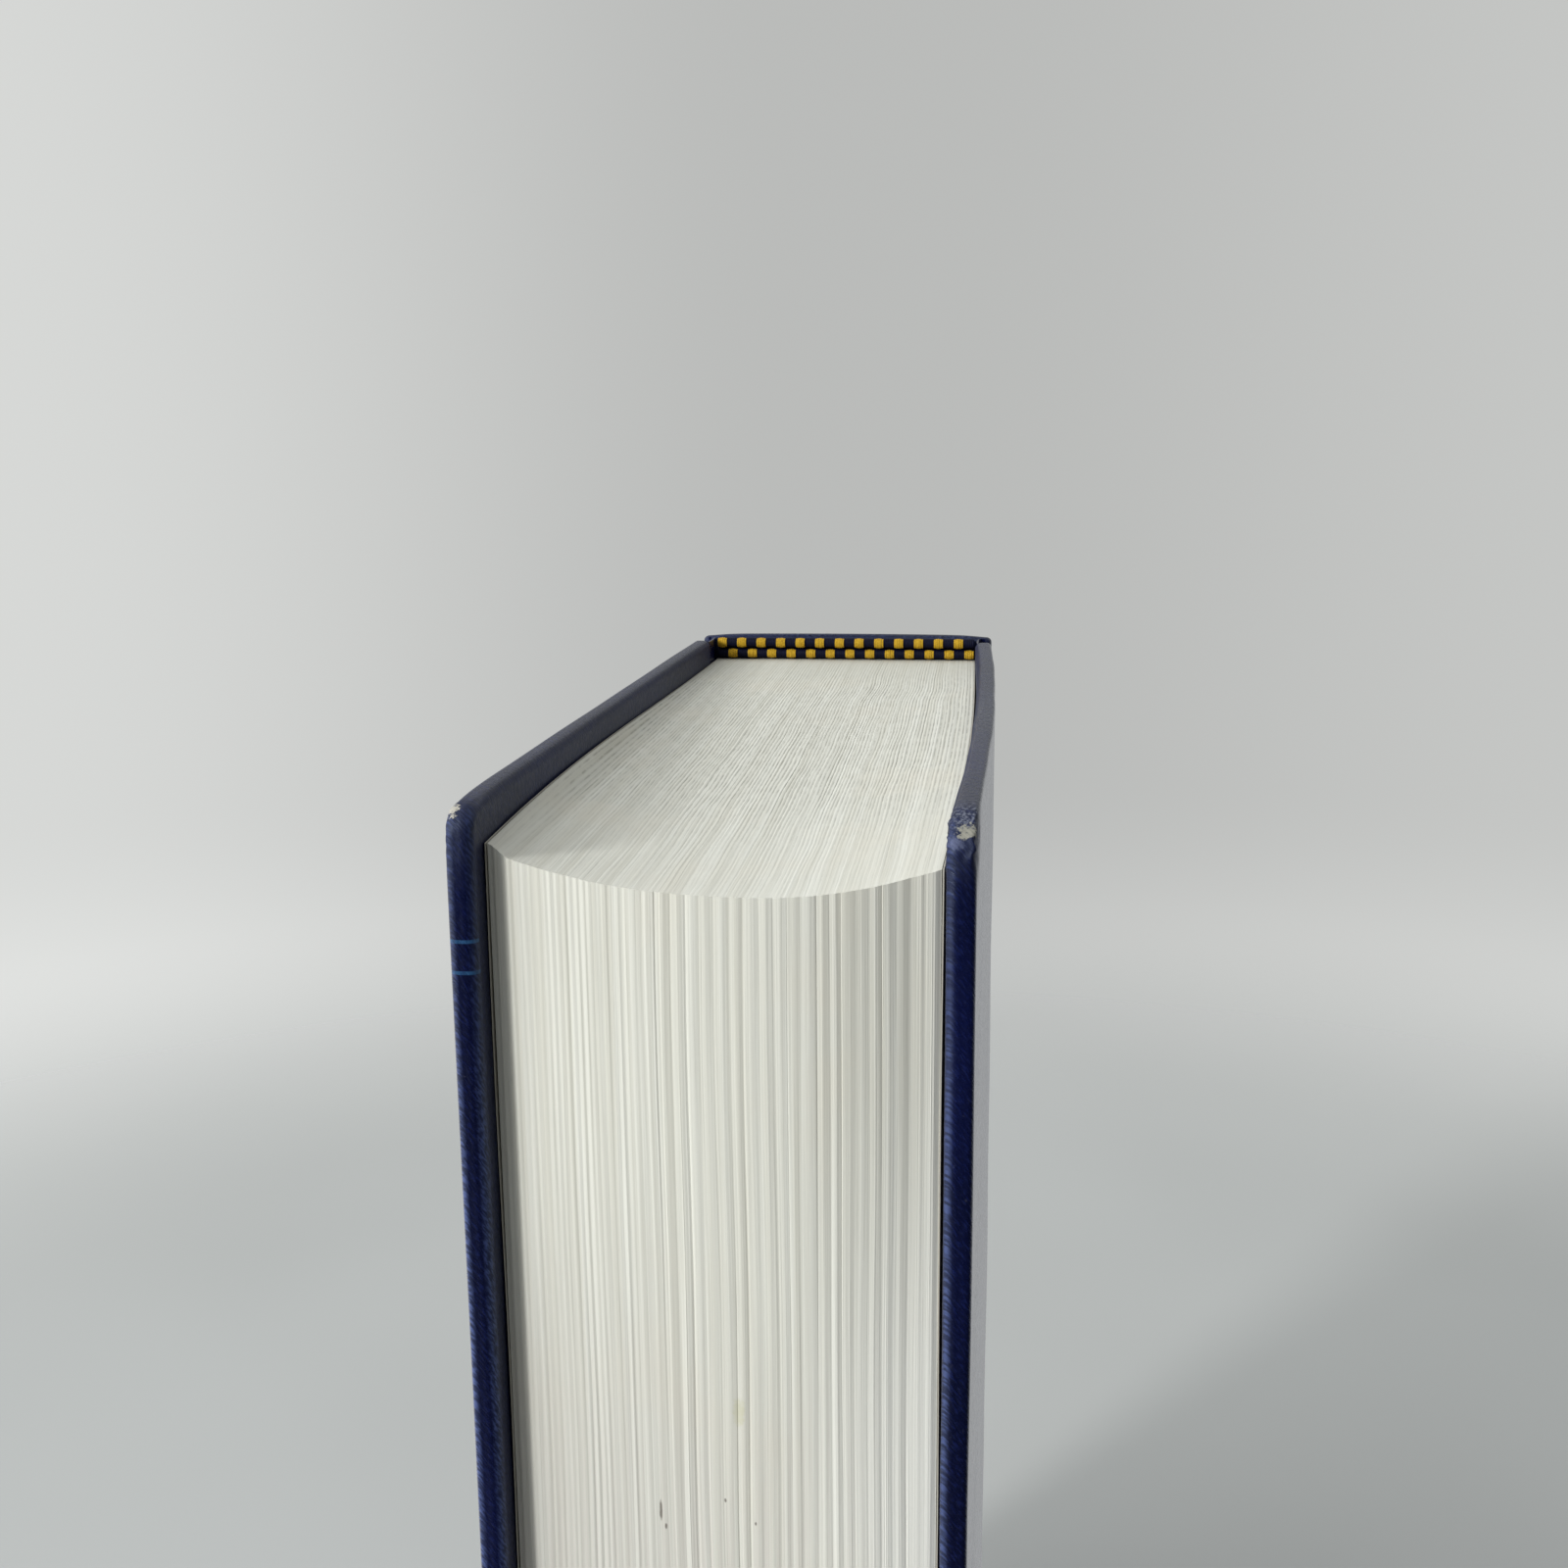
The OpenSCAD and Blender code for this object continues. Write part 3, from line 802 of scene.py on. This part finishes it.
# Bruised fore corners, as places (a, b, w) with a reach
HEAD_CORNER, HEAD_REACH = (0.6, COVER_H - 0.6, 1.5), 4.5
TAIL_CORNER, TAIL_REACH = (0.6, 0.6, 1.5), 4.0
CRUMPLE, CRUMPLE_LENGTHS = {FRONT: 0.06, BACK: 0.26}, (2.6, 2.6, 2.0)
TAIL_CRUMPLE, TAIL_LENGTHS = 0.10, (3.0, 3.0, 2.0)
SLUMP = {FRONT: 0.25, BACK: 0.55}
KNOCK = {FRONT: 0.45, BACK: 1.43}
KNOCK_REACH = {FRONT: 7.0, BACK: 3.4}
# Shares of crumpling and slump that go outwards or inwards, back and down
PUSH_OUT, PUSH_BACK, PUSH_DOWN = 0.6, 0.5, 0.4
SLUMP_IN, SLUMP_BACK, SLUMP_W = 0.5, 0.4, 0.5
UNEVEN, COVER_LENGTHS, SPINE_LENGTHS = 0.05, (60.0, 60.0, 9.0), (40.0, 60.0, 9.0)
# Worn places with their reach, for the bare head corners after scaling the three directions
BARE_SCALE = {FRONT: (0.3, 1, 1), BACK: (1, 1, 0.8)}
BARE_HEAD = {FRONT: ((0.55, COVER_H - 0.5, 2.4), 0.95), BACK: ((1.4, COVER_H - 0.6, 1.75), 1.45)}
BARE_TAIL, TAIL_BARE_SHARE = ((0.6, 0.5, 1.8), 1.2), 0.75
# Worn lamination with a painted glint on the crumpled corner, and its reach
FRAY_GLINT = ((0.6, COVER_H - 1.9, 0.8), 1.3)
RUB, RUB_SHARE = ((0.6, COVER_H - 2.0, 1.8), 4.5), 1.6
# How far edge wear reaches inwards, and how far from the fore edge the painted highlight goes
EDGE_REACH, SHOULDER_A = 0.8, 3
# Scuffed stretches of the back cover's head edge
SCUFF_A, SCUFF_REACH, FORE_SCUFF = 66.0, 20.0, 1.7
# Pastedown: the step that shows through it, where it lies flat by the joint, and its ripples
PASTE_STEP, PASTE_FLAT = (TURN_IN_W + 0.3, TURN_IN_W + 1.5), (COVER_D - 2.0, COVER_D - 6.0)
PASTE_END = 0.1
PASTE_RIPPLE, PASTE_RIPPLE_MOST, PASTE_LENGTHS = 0.02, 0.05, (25.0, 25.0)
# Rounding of the spine, and its worn head corners
SPINE_EDGE_R, SPINE_CORNER_R = 1.05, 1.0
SPINE_DROP, SPINE_DROP_REACH = 0.35, 4.0
SPINE_BARE, SPINE_BARE_REACH = 0.55, 1.2


def on_cover(side, a, b, w):
    """Place on a cover: a from its fore edge, b from its tail, w outwards from its turn-ins."""
    bow = COVER_BOW[side] * np.sin(pi * np.clip(a / COVER_D, 0, 1))
    du = TURN_IN_U + w + bow - HINGE_U
    dy = FORE_Y + a - BOARD_CREASE_Y
    u = HINGE_U + du * cos(SPLAY) - dy * sin(SPLAY)
    y = BOARD_CREASE_Y + du * sin(SPLAY) + dy * cos(SPLAY)
    return np.column_stack([side * u, y, b])


def near_place(points, place, reach):
    """1 at a place on a slab, falling off with the distance from it."""
    away = np.linalg.norm(points - np.array(place), axis=1)
    return np.exp(-(away / reach) ** 2)


def from_edges(a, b):
    """Distance from the nearest of a cover's three turned-in edges."""
    return np.minimum(np.minimum(a, b), COVER_H - b)


def edge_wear(insets):
    """1 at the edge of a panel, falling off inwards."""
    return np.exp(-(insets / EDGE_REACH) ** 2)


def inner_face(w):
    """1 on the inner face of a panel, 0 from a little way up its edge."""
    return 1 - smooth(0.15, 0.75, w)


def turn_in_step(points, insets):
    """Window that the turn-ins leave on the inner face, and their mitred seams."""
    a, b, _ = points.T
    inset = from_edges(a, b)
    window = smooth(TURN_IN_W - STEP_BLUR, TURN_IN_W + STEP_BLUR, inset)
    dip = WRAP_T * window * (insets > COVER_EDGE_R + STEP_BLUR)
    on_seam = np.minimum(np.abs(a - b), np.abs(a - (COVER_H - b))) < SEAM_HALF
    seam = SEAM_DEPTH * on_seam * (inset < TURN_IN_W) * (insets > SEAM_START)
    return np.maximum(dip, seam)


def cover_form(side, points, insets):
    """Places on a cover with turn-ins, bruised corners and a swollen fore edge."""
    a, b, w = points.T
    inner = w == 0
    lift = np.where(inner, turn_in_step(points, insets), 0.0)
    head = near_place(points, HEAD_CORNER, HEAD_REACH)
    tail = near_place(points, TAIL_CORNER, TAIL_REACH)
    push = head * (wavy(CRUMPLE_SEED + side, points, CRUMPLE_LENGTHS) * CRUMPLE[side])
    push = push + TAIL_CRUMPLE * tail * wavy(TAIL_SEED + side, points, TAIL_LENGTHS)
    slump = head * SLUMP[side]
    lowered = KNOCK[side] * near_place(points, HEAD_CORNER, KNOCK_REACH[side])
    uneven = UNEVEN * wavy(UNEVEN_SEED + side, points, COVER_LENGTHS)
    new_w = w + lift + PUSH_OUT * push - SLUMP_IN * slump * (w - SLUMP_W) / COVER_T
    new_w = new_w + np.where(inner, 0.0, uneven)
    new_w = new_w - EDGE_SWELL * np.exp(-a / SWELL_REACH) * (1 - w / COVER_T)
    new_a = a + PUSH_BACK * np.abs(push) + SLUMP_BACK * slump
    new_b = b - PUSH_DOWN * np.abs(push) * (b > COVER_H / 2) - lowered
    return on_cover(side, new_a, new_b, new_w)


def cover_wear(side, points, insets):
    """How worn the covering is at each point, and where a highlight and a glint are painted, as values for
    its material.
    """
    a, b, w = points.T
    bare_head = near_place(points * BARE_SCALE[side], *BARE_HEAD[side])
    edge = edge_wear(insets)
    from_middle = np.abs(2 * w / COVER_T - 1) if side == FRONT else 1 - 2 * w / COVER_T
    worn_head = np.exp(-((a - SCUFF_A) / SCUFF_REACH) ** 2)
    worn_head = worn_head + FORE_SCUFF * smooth(10.0, 5.0, a) * smooth(1.2, 2.4, a)
    return {
        "edge": edge,
        "corner": np.maximum(bare_head, TAIL_BARE_SHARE * near_place(points, *BARE_TAIL)),
        "inside": inner_face(w),
        "turned_in": 1 - smooth(0.0, 0.05, w),
        # Worn lamination with a painted glint on the back cover's crumpled corner
        "fray_glint": (side == BACK) * near_place(points, *FRAY_GLINT),
        "rubbed": np.minimum(RUB_SHARE * near_place(points, *RUB), 1.0),
        "scuffed_head": (side == BACK) * worn_head * smooth(COVER_H - 1.2, COVER_H - 0.4, b),
        # Where a highlight is painted on the rounded fore edges
        "shoulder_highlight": edge * smooth(0.3, 0.85, from_middle) * (a < SHOULDER_A),
    }


def make_cover(side, word):
    """Board in its covering."""
    corner_rs = (TAIL_R, COVER_CORNER_R, COVER_CORNER_R, HEAD_R[side])
    points, faces, insets = soft_slab(COVER_D, COVER_H, COVER_T, COVER_EDGE_R, OUTER_R[side], corner_rs)
    placed = cover_form(side, points, insets)
    values = cover_wear(side, points, insets)
    return make_piece("cover_" + word, placed, turned(faces, side == FRONT), values)


def make_pastedown(side, word):
    """Endpaper on the inside of a board, which shows the step of the turn-ins under it."""
    low, high_a, high_b = PASTE_MARGIN, COVER_D - PASTE_END, COVER_H - PASTE_MARGIN
    line_a = np.concatenate([low + PASTE_NEAR, np.linspace(low + PASTE_FAR, high_a, PASTE_COLUMNS)])
    middle_b = np.linspace(low + PASTE_FAR, high_b - PASTE_FAR, PASTE_ROWS)
    line_b = np.concatenate([low + PASTE_NEAR, middle_b, (high_b - PASTE_NEAR)[::-1]])
    a, b = grid_of(line_a, line_b)
    dip = WRAP_T * smooth(*PASTE_STEP, from_edges(a, b)) * smooth(*PASTE_FLAT, a)
    dip = dip - EDGE_SWELL * np.exp(-a / SWELL_REACH)
    ripple = PASTE_RIPPLE * wavy(PASTE_SEED + side, np.column_stack([a, b]), PASTE_LENGTHS)
    outer = on_cover(side, a, b, dip - CLEARANCE)
    inner = on_cover(side, a, b, dip - PAPER_T + np.minimum(ripple, PASTE_RIPPLE_MOST))
    points, faces = thin_sheet(len(line_a), len(line_b), inner, outer)
    return make_piece("pastedown_" + word, points, turned(faces, side == FRONT), sharp_deg=SHEET_SHARP)


def spine_corners(points, in_from_side, height, w, reach):
    """1 at both head corners of the spine, falling off with distance."""
    sides = (in_from_side, SPINE_LENGTH - in_from_side)
    return np.maximum(*(near_place(points, (a, height, w), reach) for a in sides))


def make_spine():
    """Curved spine in its covering, a little lower at its head corners."""
    corner_rs = (SPINE_CORNER_R,) * 4
    points, faces, insets = soft_slab(SPINE_LENGTH, COVER_H, SPINE_T, SPINE_EDGE_R, SPINE_EDGE_R, corner_rs)
    a, b, w = points.T
    uneven = UNEVEN * wavy(SPINE_SEED, points, SPINE_LENGTHS)
    radial = SPINE_R + w - SPINE_T / 2 + np.where(w > 0.5, uneven, 0.0)
    angle = (a - SPINE_LENGTH / 2) / SPINE_R
    height = b - SPINE_DROP * spine_corners(points, 0.0, COVER_H, 1.2, SPINE_DROP_REACH)
    placed = np.column_stack([radial * np.sin(angle), SPINE_CENTRE_Y + radial * np.cos(angle), height])
    bare = SPINE_BARE * spine_corners(points, 0.4, COVER_H - 0.3, 1.8, SPINE_BARE_REACH)
    values = {"edge": edge_wear(insets), "corner": bare, "inside": inner_face(w)}
    return make_piece("spine_skin", placed, turned(faces, True), values)


for side, word in SIDES:
    skin = front_covering if side == FRONT else plain_covering
    dress(make_cover(side, word), skin, word + "_case", "covering", word + "_cover", word + "_board")
    dress(make_pastedown(side, word), end_paper, word + "_case", "endpaper", word + "_pastedown")
dress(make_spine(), plain_covering, "book_block", "covering", "spine_cover", "spine_board")


# Joints between the spine and the boards, each in two halves that meet at its middle
CLOTH_U, CLOTH_BACK_U, CLOTH_EDGE_T = 25.75, 25.35, 0.08
PAPER_FACE_U, PAPER_BACK_U = 25.01, 25.17
# For each half: start of its cloth, depth of the face it lies on, its bend, and the way to that face
CLOTH = {"board": (27.1, JOINT_EDGE_Y + 0.06, 0.75, -1), "spine": (26.9, 75.09, 0.85, 1)}
# How far the cloth goes into that face, and where along it that ends
HUG_U, HUG_Y, HUG_SHARES = 0.04, 0.12, (0.12, 0.4)
PAPER_END_Y = {"board": 67.0, "spine": 74.62}
# Depths between which each half bends, and the height of those two points in metres
CREASE_Y = {"board": (69.3, 67.2), "spine": (75.3, 73.3)}


def make_strip(name, side, section, material, low, high):
    """Strip of one closed cross-section of points (u, y) between two heights."""
    levels = np.linspace(low, high, STRIP_LEVELS)
    u, y = np.array(section).T
    count = len(section)
    points = np.concatenate([np.column_stack([side * u, y, np.full(count, z)]) for z in levels])
    faces = ring_faces(len(levels), count)
    for k in range(count // 2 - 1):
        quad = (k, k + 1, count - 2 - k, count - 1 - k)
        faces += [quad[::-1], tuple((len(levels) - 1) * count + q for q in quad)]
    area = 0.5 * np.sum(u * np.roll(y, -1) - np.roll(u, -1) * y)
    faces = turned(faces, (area < 0) != (side == FRONT))
    piece = make_piece(name, points, faces, sharp_deg=STRIP_SHARP)
    piece.data.materials.append(material)
    return piece


def bowed_path(start, corner, end, radius):
    """Line from start to end by way of a rounded corner."""
    start, corner, end = map(np.array, (start, corner, end))
    back, ahead = start - corner, end - corner
    one = corner + back / np.linalg.norm(back) * radius
    two = corner + ahead / np.linalg.norm(ahead) * radius
    lead, bend, run = (np.linspace(0, 1, steps) for steps in (LEAD_STEPS, BEND_STEPS, RUN_STEPS))
    points = [start + (one - start) * t for t in lead[:-1]]
    points += [(1 - t) ** 2 * one + 2 * t * (1 - t) * corner + t ** 2 * two for t in bend]
    points += [two + (end - two) * t for t in run[1:]]
    return points


def cloth_section(half):
    """Cross-section of the covering in one half of a joint."""
    start_u, face_y, bend_r, toward = CLOTH[half]
    outer = bowed_path((start_u, face_y), (CLOTH_U, face_y), (CLOTH_U, JOINT_MID_Y), bend_r)
    thick = np.linspace(CLOTH_EDGE_T, CLOTH_U - CLOTH_BACK_U, len(outer))
    inner = []
    for k, (u, y) in enumerate(outer):
        hug = 1 - smooth(*HUG_SHARES, k / (len(outer) - 1))
        inner_u = u - thick[k] * (1 - hug) - HUG_U * hug
        inner.append((inner_u, y + toward * HUG_Y * hug))
    return outer + inner[::-1]


def paper_section(half):
    """Cross-section of the endpaper in one half of a joint."""
    depths = np.linspace(PAPER_END_Y[half], JOINT_MID_Y, STRIP_COLUMNS)
    return [(PAPER_FACE_U, y) for y in depths] + [(PAPER_BACK_U, y) for y in depths[::-1]]


def make_joint(side, word):
    """Covering and endpaper of one joint, in two halves."""
    for half, depths in CREASE_Y.items():
        cloth = make_strip(f"joint_cloth_{word}_{half}", side, cloth_section(half), plain_covering,
                           JOINT_LOW_Z, JOINT_HIGH_Z)
        paper = make_strip(f"joint_paper_{word}_{half}", side, paper_section(half), end_paper,
                           PASTE_MARGIN, COVER_H - PASTE_MARGIN)
        for piece, slot_name in ((cloth, "covering"), (paper, "endpaper")):
            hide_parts(word + "_joint")
            if half == "board":
                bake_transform(piece)
            else:
                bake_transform(piece)


for side, word in SIDES:
    make_joint(side, word)


# Woven bands at head and tail
LIGHT_TURNS, DARK_TURNS = 5, 11
# The dark turns lie inside the bead, and the light ones swell in the middle of a check
DARK_INSIDE, THREAD_UNEVEN = 0.27, 0.012
LIGHT_R, LIGHT_SWELL, LIGHT_FORWARD = (0.63, 0.71), 0.14, 0.36
THREAD_SHARE, THREAD_HALF_H, THREAD_PHASE = 0.53, 0.15, 0.4
CORE_INSIDE, CORE_END = 0.3, 0.02


def thread_turn(x, y, z, radius, half_wide, phase):
    """One turn of thread round a bead, which lies along X."""
    turns = np.linspace(0, 2 * pi, TURN_STEPS, endpoint=False) + phase
    t, s = grid_of(turns, np.linspace(0, 2 * pi, THREAD_STEPS, endpoint=False))
    r = radius + THREAD_HALF_H * np.cos(s)
    points = np.column_stack([x + half_wide * np.sin(s), y + r * np.cos(t), z + r * np.sin(t)])
    faces = []
    for i in range(TURN_STEPS):
        p = (i + 1) % TURN_STEPS
        for j in range(THREAD_STEPS):
            q = (j + 1) % THREAD_STEPS
            corners = ((i, j), (p, j), (p, q), (i, q))
            faces.append(tuple(turn * THREAD_STEPS + place for turn, place in corners))
    return points, faces


def wound(random, row, is_light, first, length):
    """Turns of one thread side by side on a bead."""
    turns = LIGHT_TURNS if is_light else DARK_TURNS
    made = []
    for k in range(turns):
        share = (k + 0.5) / turns
        uneven = random.normal(0, THREAD_UNEVEN)
        x = first + length * share + random.normal(0, THREAD_UNEVEN)
        phase = random.uniform(0, THREAD_PHASE)
        if is_light:
            radius = LIGHT_R[row] + LIGHT_SWELL * sin(pi * share)
            y = BEAD_Y - LIGHT_FORWARD
        else:
            radius = BEAD_R - DARK_INSIDE + uneven
            y = BEAD_Y
        made.append(thread_turn(x, y, BEAD_Z[row], radius, length / turns * THREAD_SHARE, phase))
    return made


def bead_core(row):
    """Core that fills a bead under its thread."""
    angles = np.linspace(0, 2 * pi, CORE_STEPS, endpoint=False)
    radius = BEAD_R - CORE_INSIDE
    loop = np.column_stack([BEAD_Y + radius * np.cos(angles), BEAD_Z[row] + radius * np.sin(angles)])
    end_x = TEXT_HALF - CORE_END
    ends = [np.column_stack([np.full(CORE_STEPS, x), loop]) for x in (-end_x, end_x)]
    faces = ring_faces(2, CORE_STEPS)
    faces += [tuple(range(CORE_STEPS))[::-1], tuple(range(CORE_STEPS, 2 * CORE_STEPS))]
    return np.concatenate(ends), faces


def band_tape():
    """Tape that carries the beads, glued to the backs of the pages."""
    levels = np.linspace(TAPE_LOW_Z, BEAD_Z[1], TAPE_ROWS)
    x, z = grid_of(np.linspace(-TEXT_HALF, TEXT_HALF, TAPE_COLUMNS), levels)
    near, far = (np.column_stack([x, np.full_like(x, y), z]) for y in (TAPE_Y, TAPE_Y + TAPE_T))
    points, faces = thin_sheet(TAPE_COLUMNS, TAPE_ROWS, near, far)
    return points, turned(faces, True)


def gathered(parts):
    """Several meshes as one."""
    points, faces, base = [], [], 0
    for p, f in parts:
        points.append(p)
        faces += [tuple(v + base for v in face) for face in f]
        base += len(p)
    return np.concatenate(points), faces


def band_parts():
    """Light and dark thread of the head band, with the cores and the tape."""
    random = np.random.default_rng(BAND_SEED)
    light, dark = [], []
    for row, light_from in ((0, 1 - CHECK_SHARE), (1, 0)):
        for check in range(BAND_CHECKS):
            light_start = -TEXT_HALF + (check + light_from) * CHECK_PITCH
            light += wound(random, row, True, light_start, CHECK_PITCH * CHECK_SHARE)
            dark += wound(random, row, False, -TEXT_HALF + check * CHECK_PITCH, CHECK_PITCH)
    dark += [bead_core(0), bead_core(1), band_tape()]
    return gathered(light), gathered(dark)


def make_band(word, kind, parts):
    """One thread of the head band, or of the tail band, the same upside down."""
    points, faces = parts
    placed = points.copy()
    if word == "tail":
        placed[:, 2] = TEXT_HEAD_Z + TEXT_TAIL_Z - placed[:, 2]
    return make_piece(f"{word}_band_{kind}", placed, turned(faces, word == "tail"), sharp_deg=BAND_SHARP)


light_band, dark_band = band_parts()
for word in ("head", "tail"):
    light_piece = make_band(word, "light", light_band)
    dress(light_piece, light_thread, "book_block", "band_light", word + "_band_thread")
    dark_piece = make_band(word, "dark", dark_band)
    dress(dark_piece, dark_thread, "book_block", "band_dark", word + "_band")


# Floor, light and camera
# Half size of the floor in metres, and the distances in millimetres between which it fades
FLOOR_HALF = 4.0
FADE = (330.0, 760.0)
# Directions of the light from the left, and of a weaker one from lower down
LEFT_LIGHT = (-0.82, -0.25, 0.51)
LEFT_LOW = (-0.85, -0.18, -0.50)
STUDIO_WHITE, BACKDROP_WHITE = (0.97, 0.99, 1.0, 1.0), (0.985, 1.0, 0.98, 1.0)
# Lamp, in metres and watts
LAMP_PLACE, LAMP_AIM = (-1.3, -1.58, 0.86), (0.0, -0.03, 0.19)
LAMP_SIZE, LAMP_POWER = 0.34, 27.5
# Camera that was fitted to the photo: pixels, angles in radians, and place in metres
FOCAL_PX, IMAGE_PX = 1769.56, 1600
YAW, PITCH, ROLL = 0.1362, 0.2080, 0.0098
CAMERA_PLACE = (0.033366, -0.258571, 0.282392)
SENSOR_W, CLIP_START = 36.0, 0.005


def floor_material():
    """Pale paint that fades out away from the book and isn't mirrored in it."""
    n = Surface("floor_paint")
    here = n.here()
    tone = n.noise(here, 0.004, 2.0, 0.5)
    n.surface(Base_Color=n.mix(n.span(tone, 0.3, 0.7), srgb(184, 186, 184), srgb(190, 192, 190)))
    n.surface(Roughness=0.9, Specular_IOR_Level=0.1)
    clear = n.node("BsdfTransparent").outputs[0]
    gloss = n.node("LightPath").outputs["Is Glossy Ray"]
    unseen = n.most(gloss, n.span(n.length(here), *FADE))
    fade = n.node("MixShader", {0: unseen, 1: n.shader.outputs[0], 2: clear})
    n.put(n.out.inputs[0], fade.outputs[0])
    return n.material


def make_floor():
    """Floor that fades into the background away from the book."""
    corners = [(x * FLOOR_HALF, y * FLOOR_HALF, 0) for x, y in ((-1, -1), (1, -1), (1, 1), (-1, 1))]
    mesh = bpy.data.meshes.new("floor")
    mesh.from_pydata(corners, [], [(0, 1, 2, 3)])
    floor = add_object("floor", mesh)
    floor.data.materials.append(floor_material())


def make_world():
    """Soft studio light, and a pale background for the camera."""
    world = bpy.data.worlds.new("studio")
    bpy.context.scene.world = world
    n = Nodes(world)
    out = n.node("OutputWorld")
    way = n.node("TexCoord").outputs["Generated"]
    x, y, z = n.axes(way)
    # Light from behind, the right, above and twice from the left
    level = n.times(n.span(y, -0.1, 0.5, 0.05, 1.0), n.span(z, -0.15, 0.1, 0.62, 0.30))
    level = n.plus(level, n.times(n.span(x, 0.3, 1.0, 0.0, 0.18), n.span(y, -0.3, 0.2)))
    level = n.plus(level, n.span(z, 0.1, 0.9, 0.0, 0.42))
    level = n.plus(level, n.span(n.toward(way, LEFT_LIGHT), 0.5, 0.95, 0.0, 1.5))
    level = n.plus(level, n.span(n.toward(way, LEFT_LOW), 0.5, 0.97, 0.0, 0.25))
    lit = n.node("Background", {"Color": STUDIO_WHITE, "Strength": level}).outputs[0]
    # Background for the camera, paler at both sides and in one low stretch
    across = n.plus(n.span(x, -0.12, -0.55, 0.0, 0.19), n.span(x, -0.05, 0.35, 0.0, 0.07))
    rise = n.times(n.span(z, -0.20, -0.32, 0.0, 0.09), n.span(z, -0.5, -0.38))
    tone = n.plus(n.plus(across, rise), 0.50)
    seen = n.node("Background", {"Color": BACKDROP_WHITE, "Strength": tone}).outputs[0]
    ray = n.node("LightPath").outputs["Is Camera Ray"]
    both = n.node("MixShader", {0: ray, 1: lit, 2: seen}).outputs[0]
    n.put(out.inputs[0], both)


def make_lamp():
    """Round lamp in front of the book, on the left."""
    data = bpy.data.lights.new("key", "AREA")
    data.shape = "DISK"
    data.size = LAMP_SIZE
    data.energy = LAMP_POWER
    lamp = add_object("key", data)
    lamp.location = LAMP_PLACE
    lamp.rotation_euler = (Vector(LAMP_AIM) - Vector(LAMP_PLACE)).to_track_quat("-Z", "Y").to_euler()


def make_camera():
    """Camera of the photo."""
    level = Vector((cos(YAW), sin(YAW), 0.0))
    ahead = Vector((-sin(YAW), cos(YAW), 0.0))
    forward = cos(PITCH) * ahead - Vector((0.0, 0.0, sin(PITCH)))
    down = forward.cross(level)
    right = cos(ROLL) * level + sin(ROLL) * down
    lower = -sin(ROLL) * level + cos(ROLL) * down
    data = bpy.data.cameras.new("camera")
    data.sensor_width = SENSOR_W
    data.lens = FOCAL_PX / IMAGE_PX * data.sensor_width
    data.clip_start = CLIP_START
    camera = add_object("camera", data)
    axes = Matrix((right, -lower, -forward)).transposed()
    camera.matrix_world = Matrix.Translation(CAMERA_PLACE) @ axes.to_4x4()
    bpy.context.scene.camera = camera


make_floor()
make_world()
make_lamp()
make_camera()
bpy.context.scene.view_settings.view_transform = "Standard"
